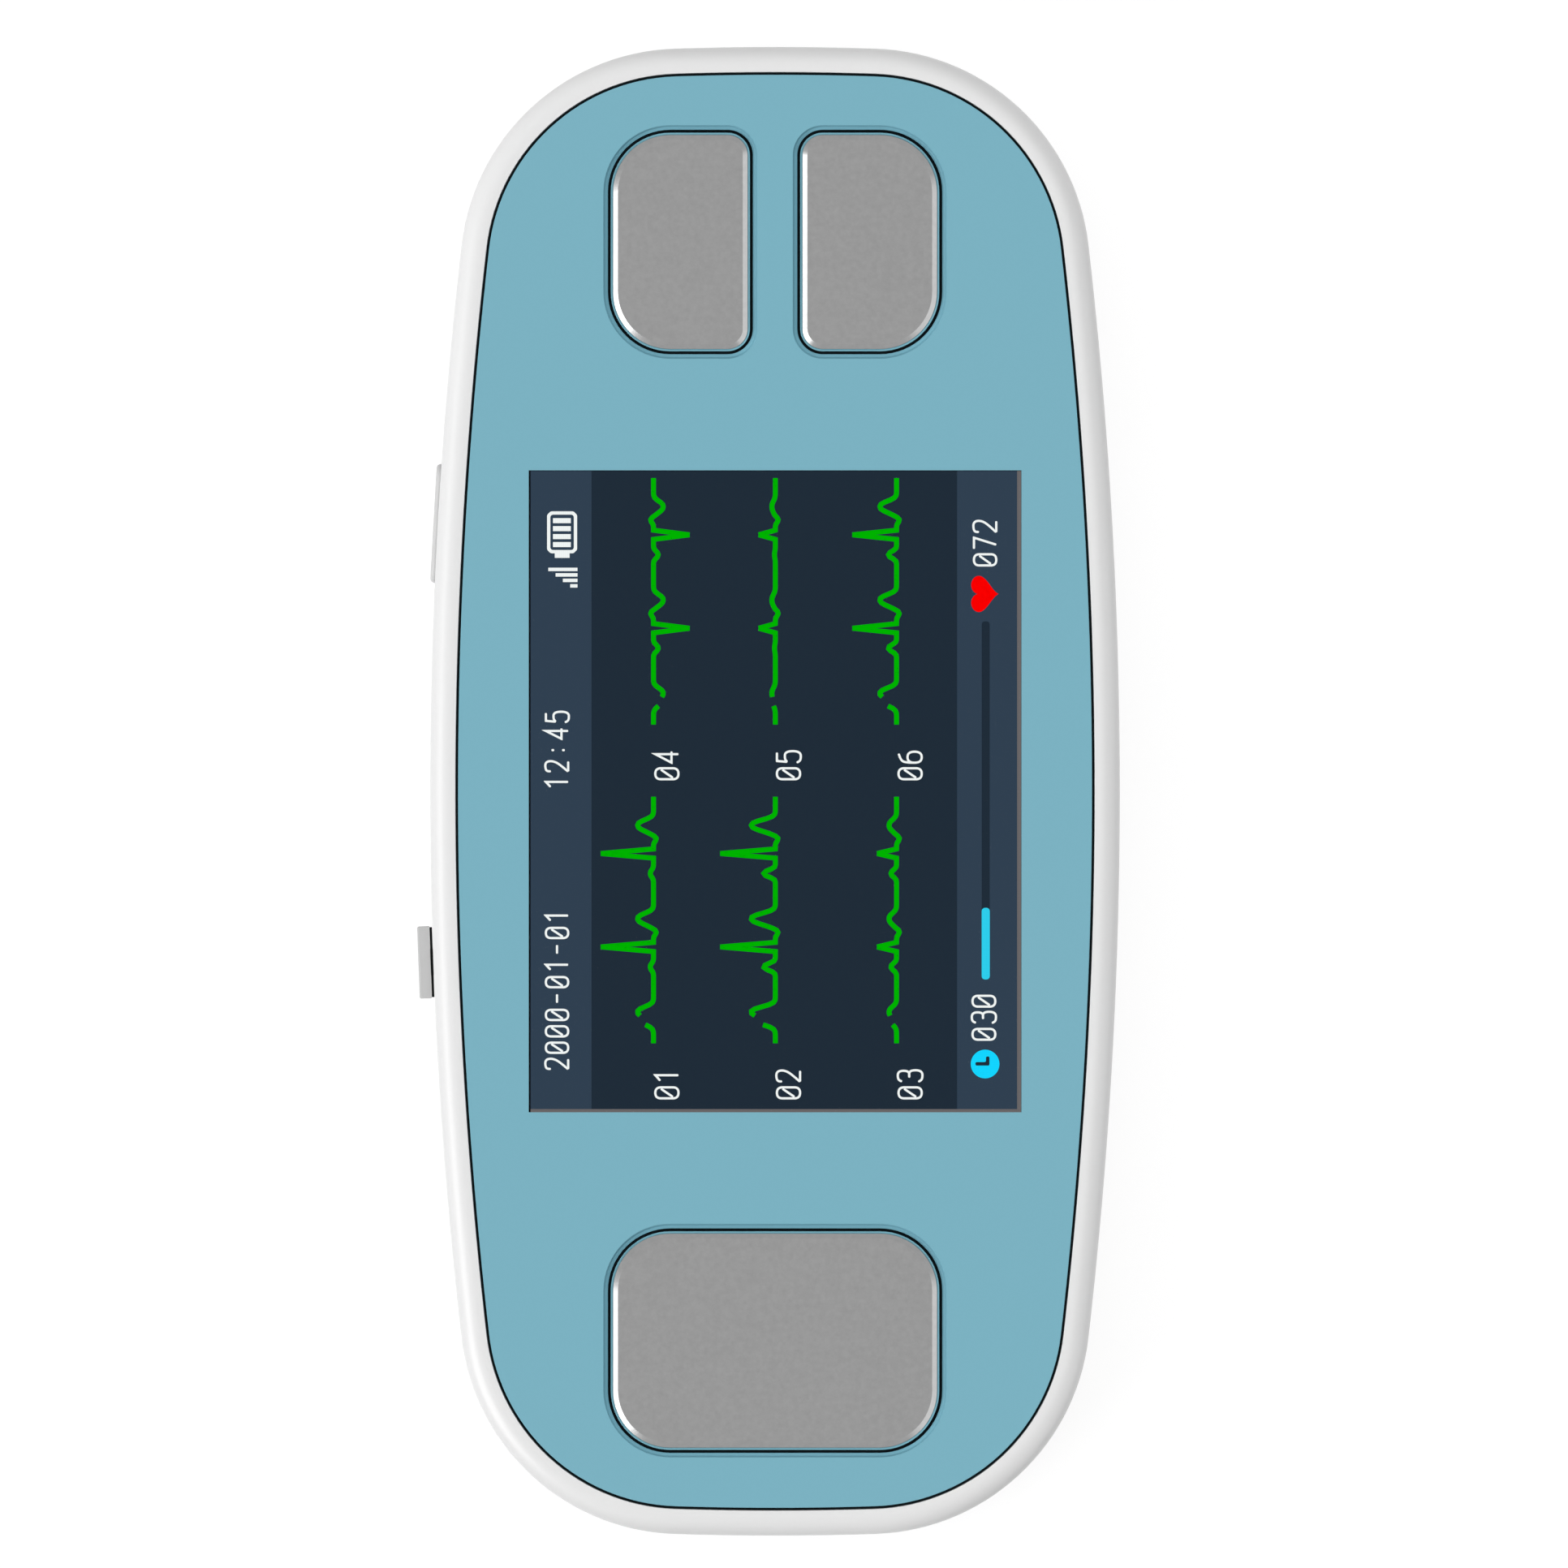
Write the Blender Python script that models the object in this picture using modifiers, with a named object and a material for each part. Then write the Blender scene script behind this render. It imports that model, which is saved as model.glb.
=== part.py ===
"""A handheld heart trace monitor, modelled piece by piece at its real size, in metres.

It lies on its back: +X is its right side, +Y its top end, and +Z comes out of its face.
The origin is the middle of the rear contact plate, on which it rests.
"""

import math

import bmesh
import bpy
from mathutils import Matrix, Vector

MM = 0.001

# What sets the case's width and length: the display's window, the electrode openings and the
# room between and around them
WINDOW_WIDTH = 37.8 * MM
WINDOW_LENGTH = 49.25 * MM
PAD_LENGTH = 17.17 * MM
MODULE_SIDE_BORDER = 2.45 * MM
MODULE_TO_SIDE = 5.1 * MM
WINDOW_TO_PAD = 8.93 * MM
PAD_TO_END = 6.375 * MM

MODULE_WIDTH = WINDOW_WIDTH + 2 * MODULE_SIDE_BORDER
CASE_WIDTH = MODULE_WIDTH + 2 * MODULE_TO_SIDE
PAD_CENTRE_Y = WINDOW_LENGTH / 2 + WINDOW_TO_PAD + PAD_LENGTH / 2
CASE_LENGTH = 2 * (PAD_CENTRE_Y + PAD_LENGTH / 2 + PAD_TO_END)

# Case outline seen from the front: long flat arcs on the sides and ends, and round corners
SIDE_ARC_RADIUS = 367.0 * MM
END_ARC_RADIUS = 239.5 * MM
CORNER_RADIUS = 17.0 * MM
SIDE_STEPS = 4
CORNER_STEPS = 11
END_STEPS = 1

# Case section
CASE_WALL = 1.6 * MM
REAR_ROUND_WIDTH = 5.0 * MM
REAR_ROUND_HEIGHT = 5.0 * MM
REAR_ROUND_STEPS = 6
REAR_INSIDE_STEPS = 3
RIM_WIDTH = 1.93 * MM
RIM_ROUND = 1.5 * MM
RIM_STEPS = 6
DECK_THICKNESS = 1.2 * MM
SEAM_DROP = 0.6 * MM
SEAM_CHAMFER = 0.15 * MM
SKIRT_WALL = 0.8 * MM
TONGUE_HEIGHT = 0.9 * MM
TONGUE_GAP = 0.15 * MM

# Thickness of each layer, from the back to the face
REAR_PLATE_PROUD = 0.3 * MM
CELL_PAD_THICKNESS = 0.3 * MM
CELL_THICKNESS = 4.0 * MM
CELL_HEADROOM = 0.6 * MM
BOARD_THICKNESS = 1.0 * MM
BOARD_HEADROOM = 2.7 * MM
BRACKET_SHEET = 0.3 * MM
BACKLIGHT_THICKNESS = 1.1 * MM
GLASS_THICKNESS = 1.3 * MM
FOAM_THICKNESS = 0.4 * MM
LENS_FLANGE = 0.4 * MM
PANEL_THICKNESS = 1.2 * MM
GASKET_THICKNESS = 0.3 * MM

REAR_FACE_Z = REAR_PLATE_PROUD
FLOOR_Z = REAR_FACE_Z + CASE_WALL
CELL_Z = FLOOR_Z + CELL_PAD_THICKNESS
BOARD_Z = CELL_Z + CELL_THICKNESS + CELL_HEADROOM
BOARD_TOP_Z = BOARD_Z + BOARD_THICKNESS
BRACKET_Z = BOARD_TOP_Z + BOARD_HEADROOM
BACKLIGHT_Z = BRACKET_Z + BRACKET_SHEET
GLASS_Z = BACKLIGHT_Z + BACKLIGHT_THICKNESS
FOAM_Z = GLASS_Z + GLASS_THICKNESS
LENS_Z = FOAM_Z + FOAM_THICKNESS
PANEL_Z = LENS_Z + LENS_FLANGE
FACE_Z = PANEL_Z + PANEL_THICKNESS
GASKET_Z = PANEL_Z - GASKET_THICKNESS
DECK_Z = GASKET_Z - DECK_THICKNESS
SEAM_Z = BOARD_Z - SEAM_DROP
TONGUE_TOP_Z = SEAM_Z + TONGUE_HEIGHT
REBATE_Z = TONGUE_TOP_Z + TONGUE_GAP

# Front panel, and the dark gasket that lines its edges
RIM_GAP = 0.2 * MM
PANEL_EDGE_ROUND = 0.08 * MM
LIP_CLEARANCE = 0.04 * MM
LIP_DROP = 0.15 * MM

# Electrodes: their openings in the panel, mirrored about the centre line
PAD_OUTER_X = 12.8 * MM
PAD_INNER_X = 1.73 * MM
PAD_OUTER_RADIUS = 4.42 * MM
PAD_INNER_RADIUS = 1.87 * MM
PAD_CORNER_STEPS = 6
PAD_FILLET = 0.37 * MM
PAD_FILLET_STEPS = 2
PAD_GAP = 0.2 * MM
CARRIER_RING = 0.17 * MM
CARRIER_DROP = 0.05 * MM
CARRIER_FLOOR = 0.7 * MM
PLATE_GAP = 0.04 * MM
PLATE_PROUD = 0.2 * MM
PLATE_CHAMFER_WIDTH = 0.3 * MM
PLATE_CHAMFER_HEIGHT = 0.2 * MM
STUD_RADIUS = 1.2 * MM
STUD_CLEARANCE = 0.3 * MM
STUD_DEPTH = 3.3 * MM

# Rear electrode
REAR_PLATE_WIDTH = 26.0 * MM
REAR_PLATE_LENGTH = 42.0 * MM
REAR_PLATE_THICKNESS = 0.8 * MM
REAR_PLATE_RADIUS = 4.0 * MM
REAR_PLATE_CHAMFER = 0.15 * MM
REAR_PLATE_GAP = 0.25 * MM
REAR_STUD_INSET = 4.0 * MM
REAR_STUD_RISE = 1.2 * MM

# Display window and module
LENS_GAP = 0.06 * MM
LENS_DROP = 0.05 * MM
LENS_CHAMFER = 0.06 * MM
FLANGE_OVERLAP = 1.5 * MM
FOAM_WIDTH = 1.2 * MM
MODULE_UPPER_BORDER = 2.7 * MM
MODULE_LOWER_BORDER = 8.3 * MM
LOWER_GLASS_THICKNESS = 0.6 * MM
DRIVER_LEDGE = 3.6 * MM
MODULE_GAP = 0.1 * MM
DECK_MODULE_GAP = 0.25 * MM
BRACKET_CUTOUT_SHARE = 0.6
EAR_CLEARANCE = 0.5 * MM
EAR_REACH = MODULE_TO_SIDE - CASE_WALL - MODULE_GAP - BRACKET_SHEET - EAR_CLEARANCE
EAR_LENGTH = 4.0 * MM
EAR_Y = 8.0 * MM

# Display flex: it folds under the module to its socket on the board
FLEX_WIDTH = 16.0 * MM
FLEX_THICKNESS = 0.15 * MM
FLEX_LEAD = 0.5 * MM
FLEX_FOLD_RADIUS = 1.2 * MM
FLEX_FOLD_STEPS = 6
FLEX_RETURN = 8.0 * MM
FLEX_DIP = 1.6 * MM
FLEX_SOCKET_SIZE = (18.0 * MM, 4.4 * MM, 1.2 * MM)

# Main board, and what holds it
BOARD_INSET = 3.0 * MM
STANDOFF_RADIUS = 2.0 * MM
STANDOFF_INSET = 5.6 * MM
STANDOFF_MARGIN = 1.2 * MM
BOARD_SCREW_RADIUS = 0.7 * MM
BOARD_SCREW_HEAD_RADIUS = 1.3 * MM
BOARD_SCREW_HEAD = 0.6 * MM
BOARD_SCREW_LENGTH = 3.6 * MM
BRACKET_SCREW_RADIUS = 0.6 * MM
BRACKET_SCREW_HEAD_RADIUS = 1.0 * MM
BRACKET_SCREW_HEAD = 0.6 * MM
BRACKET_SCREW_LENGTH = 1.3 * MM
SCREW_CLEARANCE = 0.2 * MM
SCREW_SIDES = 12
THREAD_END_GAP = 0.4 * MM

# Case screws, in the round corners
CASE_SCREW_INSET = 6.1 * MM
CASE_SCREW_RADIUS = 0.8 * MM
CASE_SCREW_HEAD_RADIUS = 1.5 * MM
CASE_SCREW_HEAD = 1.0 * MM
CASE_SCREW_LENGTH = 7.2 * MM
HEAD_RECESS_CLEARANCE = 0.25 * MM
POST_RADIUS = 2.6 * MM
BOSS_RADIUS = 2.3 * MM
BOSS_DROP = 0.4 * MM
BOSS_CLEARANCE = 1.0 * MM

# Contact pins between the board and the electrodes
PIN_FLANGE_RADIUS = 1.3 * MM
PIN_BARREL_RADIUS = 1.0 * MM
PIN_TIP_RADIUS = 0.55 * MM
PIN_FLANGE_HEIGHT = 0.4 * MM
PIN_BARREL_SHARE = 0.65
PIN_GAP = 0.05 * MM
PIN_SIDES = 10

# Parts soldered to the top of the board: width, length and height
CHIP_SIZES = {
    "processor_chip": (7.0 * MM, 7.0 * MM, 0.9 * MM),
    "memory_chip": (5.0 * MM, 6.0 * MM, 0.8 * MM),
    "ecg_amplifier_chip": (6.0 * MM, 6.0 * MM, 0.9 * MM),
    "power_chip": (3.0 * MM, 3.0 * MM, 0.7 * MM),
    "power_inductor": (4.0 * MM, 4.0 * MM, 1.4 * MM),
    "clock_crystal": (3.2 * MM, 1.6 * MM, 0.7 * MM),
    "buzzer": (8.5 * MM, 8.5 * MM, 2.0 * MM),
}
# Their centres, as shares of half the case's width and half its length
CHIP_PLACE_SHARES = {
    "processor_chip": (-0.10, -0.10),
    "memory_chip": (-0.46, -0.12),
    "ecg_amplifier_chip": (0.06, 0.24),
    "power_chip": (0.62, -0.16),
    "power_inductor": (0.60, -0.27),
    "clock_crystal": (-0.10, 0.01),
    "buzzer": (0.0, 0.595),
}
CHIP_CHAMFER = 0.15 * MM
RADIO_WIDTH = 9.6 * MM
RADIO_LENGTH = 9.0 * MM
RADIO_BOARD = 0.8 * MM
RADIO_CAN_HEIGHT = 1.5 * MM
RADIO_CAN_MARGIN = 0.4 * MM
RADIO_AERIAL = 2.6 * MM
RADIO_EDGE_GAP = 1.0 * MM

# Charging socket, on the right side
USB_WIDTH = 7.5 * MM
USB_HEIGHT = 2.5 * MM
USB_DEPTH = 5.0 * MM
USB_SETBACK = 0.8 * MM
USB_SHELL = 0.3 * MM
USB_BACK = 0.8 * MM
USB_CORNER = 0.7 * MM
USB_TONGUE_WIDTH = 4.0 * MM
USB_TONGUE_HEIGHT = 0.6 * MM
USB_TONGUE_SETBACK = 0.9 * MM
USB_OPENING_MARGIN = 0.35 * MM
USB_CORNER_STEPS = 3

# Side controls, on the left side: their heights above the board and places along the case
CONTROL_RISE = 1.2 * MM
CONTROL_Z = BOARD_TOP_Z + CONTROL_RISE
CONTROL_CLEARANCE = 0.15 * MM
RETAINER_GAP = 0.15 * MM

# Push button
BUTTON_Y = 20.6 * MM
BUTTON_LENGTH = 9.03 * MM
BUTTON_HEIGHT = 2.4 * MM
BUTTON_PROUD = 0.42 * MM
BUTTON_END_RADIUS = 1.1 * MM
BUTTON_EDGE = 0.2 * MM
BUTTON_TRAVEL = 0.3 * MM
BUTTON_FLANGE = 0.4 * MM
BUTTON_FLANGE_THICKNESS = 0.5 * MM
BUTTON_NUB_LENGTH = 2.0 * MM
BUTTON_NUB_HEIGHT = 1.2 * MM
BUTTON_NUB_REACH = 0.35 * MM
BUTTON_CORNER_STEPS = 4
TACTILE_SIZE = (2.6 * MM, 4.6 * MM, 2.0 * MM)
TACTILE_FACE_GAP = 0.4 * MM
PLUNGER_LENGTH = 1.35 * MM
PLUNGER_WIDTH = 2.2 * MM
PLUNGER_HEIGHT = 1.0 * MM
PLUNGER_GAP = 0.05 * MM
SOCKET_CLEARANCE = 0.1 * MM

# Sliding power switch
KNOB_Y = -13.1 * MM
KNOB_LENGTH = 5.54 * MM
KNOB_HEIGHT = 2.6 * MM
KNOB_PROUD = 1.15 * MM
KNOB_WALL_GAP = 0.2 * MM
KNOB_EDGE = 0.15 * MM
KNOB_NECK_LENGTH = 2.0 * MM
KNOB_NECK_HEIGHT = 1.3 * MM
KNOB_TRAVEL = 1.5 * MM
KNOB_FLANGE_LENGTH = 4.6 * MM
KNOB_FLANGE_HEIGHT = 2.2 * MM
KNOB_FLANGE_THICKNESS = 0.7 * MM
KNOB_POCKET_DEPTH = 0.5 * MM
SHIELD_INSET = 0.08 * MM
SHIELD_NECK_GAP = 0.05 * MM
SHIELD_FACE_GAP = 0.02 * MM
LEVER_SIZE = (1.25 * MM, 1.3 * MM, 0.8 * MM)
LEVER_DROP = 0.5 * MM
SLIDE_SWITCH_SIZE = (2.7 * MM, 6.7 * MM, 1.4 * MM)
SLIDE_SWITCH_GAP = 0.15 * MM

# Battery
CELL_WIDTH = 30.0 * MM
CELL_LENGTH = 40.0 * MM
CELL_UPPER_Y = 10.0 * MM
CELL_CENTRE_Y = CELL_UPPER_Y - CELL_LENGTH / 2
CELL_CORNER = 1.5 * MM
CELL_EDGE = 0.9 * MM
CELL_PAD_MARGIN = 1.5 * MM
CELL_RIB_GAP = 0.3 * MM
CELL_RIB_THICKNESS = 1.0 * MM
CELL_RIB_HEIGHT = 2.2 * MM
CELL_RIB_SHARE = 0.3
GUARD_BOARD_SIZE = (24.0 * MM, 3.2 * MM, 0.8 * MM)
GUARD_BOARD_GAP = 0.2 * MM
WIRE_RADIUS = 0.45 * MM
WIRE_PITCH = 1.5 * MM
WIRE_RUN = 6.0 * MM
WIRE_SHIFT = 2.5 * MM
WIRE_POINTS = 9
WIRE_GAP = 0.1 * MM
PLUG_SIZE = (4.4 * MM, 2.4 * MM, 1.5 * MM)
BATTERY_SOCKET_SIZE = (5.0 * MM, 3.4 * MM, 2.0 * MM)
PLUG_X = 6.0 * MM

# How far a cutter runs past what it cuts, and a joined boss into what carries it
OVERRUN = 1.0 * MM
BOND = 0.4 * MM
MERGE_DISTANCE = 0.005 * MM
SMOOTH_ANGLE = math.radians(32)

# Turns a loft so that it runs outwards along X, with its outline in Y and Z
ALONG_X = Matrix(((0, 0, 1, 0), (1, 0, 0, 0), (0, 1, 0, 0), (0, 0, 0, 1)))

# Each finish: colour as sRGB hex, roughness and metallic value
FINISHES = {
    "white_case_plastic": ("F3F4F4", 0.4, 0.0),
    "blue_panel_plastic": ("7CB1C1", 0.5, 0.0),
    "black_rubber": ("0B0D0F", 0.8, 0.0),
    "clear_acrylic": ("2A3644", 0.05, 0.0),
    "blasted_steel": ("ABABAB", 0.45, 1.0),
    "grey_knob_plastic": ("C4C4C4", 0.45, 0.0),
    "black_foam": ("1C1C1E", 0.95, 0.0),
    "display_glass": ("212B38", 0.1, 0.0),
    "white_diffuser": ("E6E6E2", 0.5, 0.0),
    "sheet_steel": ("B9BBBE", 0.35, 1.0),
    "amber_film": ("B06F25", 0.4, 0.0),
    "beige_nylon": ("D9D3C2", 0.5, 0.0),
    "green_laminate": ("1D5B3B", 0.5, 0.0),
    "black_epoxy": ("1A1A1C", 0.6, 0.0),
    "gold_plate": ("C8A455", 0.3, 1.0),
    "zinc_steel": ("B4B6BA", 0.35, 1.0),
    "cell_foil": ("B8BCC1", 0.35, 0.7),
    "white_tape": ("E2E2DC", 0.8, 0.0),
    "red_insulation": ("B3261E", 0.45, 0.0),
    "black_insulation": ("161617", 0.45, 0.0),
}


def clear_scene():
    """Removes what the file starts with."""
    for item in list(bpy.data.objects):
        bpy.data.objects.remove(item, do_unlink=True)


def collection(name):
    """A new collection in the scene."""
    group = bpy.data.collections.new(name)
    bpy.context.scene.collection.children.link(group)
    return group


def linear(channel):
    """One sRGB channel, from 0 to 1, as linear light."""
    if channel <= 0.04045:
        return channel / 12.92
    return ((channel + 0.055) / 1.055) ** 2.4


def material(piece_name, finish):
    """The piece's own material, in one of the finishes."""
    hex_colour, roughness, metallic = FINISHES[finish]
    colour = [linear(int(hex_colour[i:i + 2], 16) / 255) for i in (0, 2, 4)]
    made = bpy.data.materials.new(f"{piece_name}_{finish}")
    made.use_nodes = True
    shader = made.node_tree.nodes["Principled BSDF"]
    shader.inputs["Base Color"].default_value = (*colour, 1)
    shader.inputs["Roughness"].default_value = roughness
    shader.inputs["Metallic"].default_value = metallic
    made.diffuse_color = (*colour, 1)
    return made


def add_piece(name, bm, finish):
    """Puts a finished mesh into the scene as a named piece."""
    mesh = bpy.data.meshes.new(name)
    bm.to_mesh(mesh)
    bm.free()
    mesh.shade_smooth()
    mesh.set_sharp_from_angle(angle=SMOOTH_ANGLE)
    mesh.materials.append(material(name, finish))
    piece = bpy.data.objects.new(name, mesh)
    PARTS.objects.link(piece)
    return piece


def add_tool(name, bm):
    """Puts a shape that cuts or joins a piece into the scene, hidden from renders."""
    mesh = bpy.data.meshes.new(name)
    bm.to_mesh(mesh)
    bm.free()
    tool = bpy.data.objects.new(name, mesh)
    tool.hide_render = True
    tool.display_type = "WIRE"
    TOOLS.objects.link(tool)
    return tool


def apply_tool(piece, tool, operation="DIFFERENCE"):
    """Cuts the tool from the piece, or joins it on."""
    modifier = piece.modifiers.new(tool.name, "BOOLEAN")
    modifier.object = tool
    modifier.operation = operation


def case_corner():
    """Centre of the round corner at +X +Y, which touches the side arc and the end arc."""
    side_centre = Vector((CASE_WIDTH / 2 - SIDE_ARC_RADIUS, 0))
    end_centre = Vector((0, CASE_LENGTH / 2 - END_ARC_RADIUS))
    side_reach = SIDE_ARC_RADIUS - CORNER_RADIUS
    end_reach = END_ARC_RADIUS - CORNER_RADIUS
    between = end_centre - side_centre
    along = (side_reach ** 2 - end_reach ** 2 + between.length_squared) / (2 * between.length)
    across = math.sqrt(side_reach ** 2 - along ** 2)
    direction = between.normalized()
    return side_centre + along * direction + across * Vector((-direction.y, direction.x))


def arc(centre, radius, start, end, steps):
    """Points along an arc, without its last one."""
    angles = [start + (end - start) * step / steps for step in range(steps)]
    return [(centre[0] + radius * math.cos(a), centre[1] + radius * math.sin(a)) for a in angles]


def case_outline(inset):
    """The case's outline, anticlockwise from +X and moved inwards by the inset."""
    corner = case_corner()
    side_x = CASE_WIDTH / 2 - SIDE_ARC_RADIUS
    end_y = CASE_LENGTH / 2 - END_ARC_RADIUS
    side_angle = math.atan2(corner.y, corner.x - side_x)
    end_angle = math.atan2(corner.y - end_y, corner.x)
    quarter = arc((side_x, 0), SIDE_ARC_RADIUS - inset, 0, side_angle, SIDE_STEPS)
    quarter += arc(corner, CORNER_RADIUS - inset, side_angle, end_angle, CORNER_STEPS)
    quarter += arc((0, end_y), END_ARC_RADIUS - inset, end_angle, math.pi / 2, END_STEPS)
    top = (0, CASE_LENGTH / 2 - inset)
    half = quarter + [top] + [(-x, y) for x, y in reversed(quarter)]
    return half + [(x, -y) for x, y in reversed(half[1:-1])]


def half_width_at(y):
    """Half the case's width at a place along it, on the side arcs."""
    return CASE_WIDTH / 2 - SIDE_ARC_RADIUS + math.sqrt(SIDE_ARC_RADIUS ** 2 - y ** 2)


def rectangle(low, high, inset=0.0):
    """The four corners of a rectangle, anticlockwise and moved inwards by the inset."""
    left, bottom = low[0] + inset, low[1] + inset
    right, top = high[0] - inset, high[1] - inset
    return [(right, bottom), (right, top), (left, top), (left, bottom)]


def centred(width, length, centre=(0, 0)):
    """Low and high corners of a rectangle about a centre."""
    low = (centre[0] - width / 2, centre[1] - length / 2)
    return low, (centre[0] + width / 2, centre[1] + length / 2)


def rounded(corners, left_radius, right_radius, inset=0.0, steps=PAD_CORNER_STEPS):
    """A rectangle with round corners, anticlockwise and moved inwards by the inset."""
    low, high = corners
    turns = (
        (high[0] - right_radius, low[1] + right_radius, right_radius, -90),
        (high[0] - right_radius, high[1] - right_radius, right_radius, 0),
        (low[0] + left_radius, high[1] - left_radius, left_radius, 90),
        (low[0] + left_radius, low[1] + left_radius, left_radius, 180),
    )
    points = []
    for x, y, radius, start in turns:
        for step in range(steps + 1):
            angle = math.radians(start + 90 * step / steps)
            reach = radius - inset
            points.append((x + reach * math.cos(angle), y + reach * math.sin(angle)))
    return points


def circle_facing(points, centre, radius):
    """A circle with one point in the direction of each of the given points."""
    ring = []
    for x, y in points:
        ray = Vector((x - centre[0], y - centre[1])).normalized() * radius
        ring.append((centre[0] + ray.x, centre[1] + ray.y))
    return ring


def circle(centre, radius, sides):
    """Points round a circle."""
    return arc(centre, radius, 0, 2 * math.pi, sides)


def round_section(inset_start, inset_end, low, high, steps):
    """Insets and heights up a quarter ellipse: steep at its outer edge, level at its top."""
    section = []
    for step in range(steps + 1):
        angle = math.pi / 2 * step / steps
        inset = inset_end + (inset_start - inset_end) * math.cos(angle)
        section.append((inset, low + (high - low) * math.sin(angle)))
    return section


def loft(rings, closed=False, turn=Matrix.Identity(4)):
    """A solid skinned through rings, each with its points and its height.

    The end rings are capped, or joined to each other where the section closes on itself.
    """
    bm = bmesh.new()
    loops = []
    for points, height in rings:
        loops.append([bm.verts.new(turn @ Vector((x, y, height))) for x, y in points])
    pairs = list(zip(loops, loops[1:]))
    if closed:
        pairs.append((loops[-1], loops[0]))
    else:
        bm.faces.new(loops[0])
        bm.faces.new(loops[-1])
    for lower, upper in pairs:
        for index in range(len(lower)):
            bm.faces.new((lower[index - 1], lower[index], upper[index], upper[index - 1]))
    bmesh.ops.recalc_face_normals(bm, faces=bm.faces)
    return bm


def case_loft(section):
    """A loft of the case's outline through insets and heights."""
    return loft([(case_outline(inset), height) for inset, height in section])


def block(low, high):
    """A plain box between two corners."""
    bm = bmesh.new()
    add_block(bm, low, high)
    return bm


def add_block(bm, low, high):
    """Adds a box between two corners to a mesh."""
    size = Vector(high) - Vector(low)
    middle = (Vector(high) + Vector(low)) / 2
    bmesh.ops.create_cube(bm, size=1, matrix=Matrix.Translation(middle) @ Matrix.Diagonal((*size, 1)))


def add_cylinder(bm, centre, radius, low, high, sides=SCREW_SIDES):
    """Adds an upright cylinder to a mesh."""
    place = Matrix.Translation((centre[0], centre[1], (low + high) / 2))
    bmesh.ops.create_cone(
        bm, cap_ends=True, segments=sides, radius1=radius, radius2=radius, depth=high - low, matrix=place
    )


def cylinders(centres, radius, low, high, sides=SCREW_SIDES):
    """Upright cylinders at several places, in one mesh."""
    bm = bmesh.new()
    for centre in centres:
        add_cylinder(bm, centre, radius, low, high, sides)
    return bm


def turned(name, profile, finish, sides, place, downwards=False):
    """A turned piece: radii and heights down its outer side, spun about Z."""
    mesh = bpy.data.meshes.new(name)
    points = [(radius, 0, height) for radius, height in profile]
    mesh.from_pydata(points, [(index, index + 1) for index in range(len(points) - 1)], [])
    mesh.materials.append(material(name, finish))
    piece = bpy.data.objects.new(name, mesh)
    piece.location = place
    if downwards:
        piece.rotation_euler = (math.pi, 0, 0)
    PARTS.objects.link(piece)
    spin = piece.modifiers.new("spin", "SCREW")
    spin.steps = sides
    spin.render_steps = sides
    spin.use_merge_vertices = True
    spin.merge_threshold = MERGE_DISTANCE
    spin.use_smooth_shade = False
    return piece


def seat_on_left_side(piece, y):
    """Puts a piece's origin on the left outline at y, with its +X pointing out of the wall."""
    angle = math.asin(y / SIDE_ARC_RADIUS)
    piece.location = (-half_width_at(y), y, CONTROL_Z)
    piece.rotation_euler = (0, 0, math.pi - angle)


def case_screw_places():
    """Centres of the four case screws, on the diagonals of the round corners."""
    corner = case_corner()
    reach = (CORNER_RADIUS - CASE_SCREW_INSET) * math.sqrt(0.5)
    x, y = corner.x + reach, corner.y + reach
    return [(x, y), (-x, y), (-x, -y), (x, -y)]


def module_corners():
    """Low and high corners of the display module, which hangs down past the window."""
    half = MODULE_WIDTH / 2
    low = -WINDOW_LENGTH / 2 - MODULE_LOWER_BORDER
    return (-half, low), (half, WINDOW_LENGTH / 2 + MODULE_UPPER_BORDER)


def standoff_places():
    """Centres of the board's four screws, just past the ends of the display module."""
    low, high = module_corners()
    margin = BRACKET_SHEET + STANDOFF_RADIUS + STANDOFF_MARGIN
    places = []
    for y in (high[1] + margin, low[1] - margin - STANDOFF_MARGIN):
        x = half_width_at(y) - STANDOFF_INSET
        places += [(x, y), (-x, y)]
    return places


def ear_screw_places():
    """Centres of the two screws that hold the display bracket to the deck."""
    x = MODULE_WIDTH / 2 + MODULE_GAP + BRACKET_SHEET + EAR_REACH / 2
    return [(-x, EAR_Y), (x, EAR_Y)]


def electrodes():
    """Each front electrode's name, opening and corner radii, left and right."""
    half = PAD_LENGTH / 2
    upper_low, upper_high = PAD_CENTRE_Y - half, PAD_CENTRE_Y + half
    left = ((-PAD_OUTER_X, upper_low), (-PAD_INNER_X, upper_high))
    right = ((PAD_INNER_X, upper_low), (PAD_OUTER_X, upper_high))
    lower = ((-PAD_OUTER_X, -upper_high), (PAD_OUTER_X, -upper_low))
    return [
        ("upper_left", left, PAD_OUTER_RADIUS, PAD_INNER_RADIUS),
        ("upper_right", right, PAD_INNER_RADIUS, PAD_OUTER_RADIUS),
        ("lower", lower, PAD_OUTER_RADIUS, PAD_OUTER_RADIUS),
    ]


def stud_place(corners):
    """Centre of an electrode's stud, in the middle of its opening."""
    low, high = corners
    return ((low[0] + high[0]) / 2, (low[1] + high[1]) / 2)


def rear_stud_place():
    """Centre of the rear electrode's stud, near its upper left corner and clear of the battery."""
    x = -REAR_PLATE_WIDTH / 4
    return (x, REAR_PLATE_LENGTH / 2 - REAR_STUD_INSET)


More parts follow.
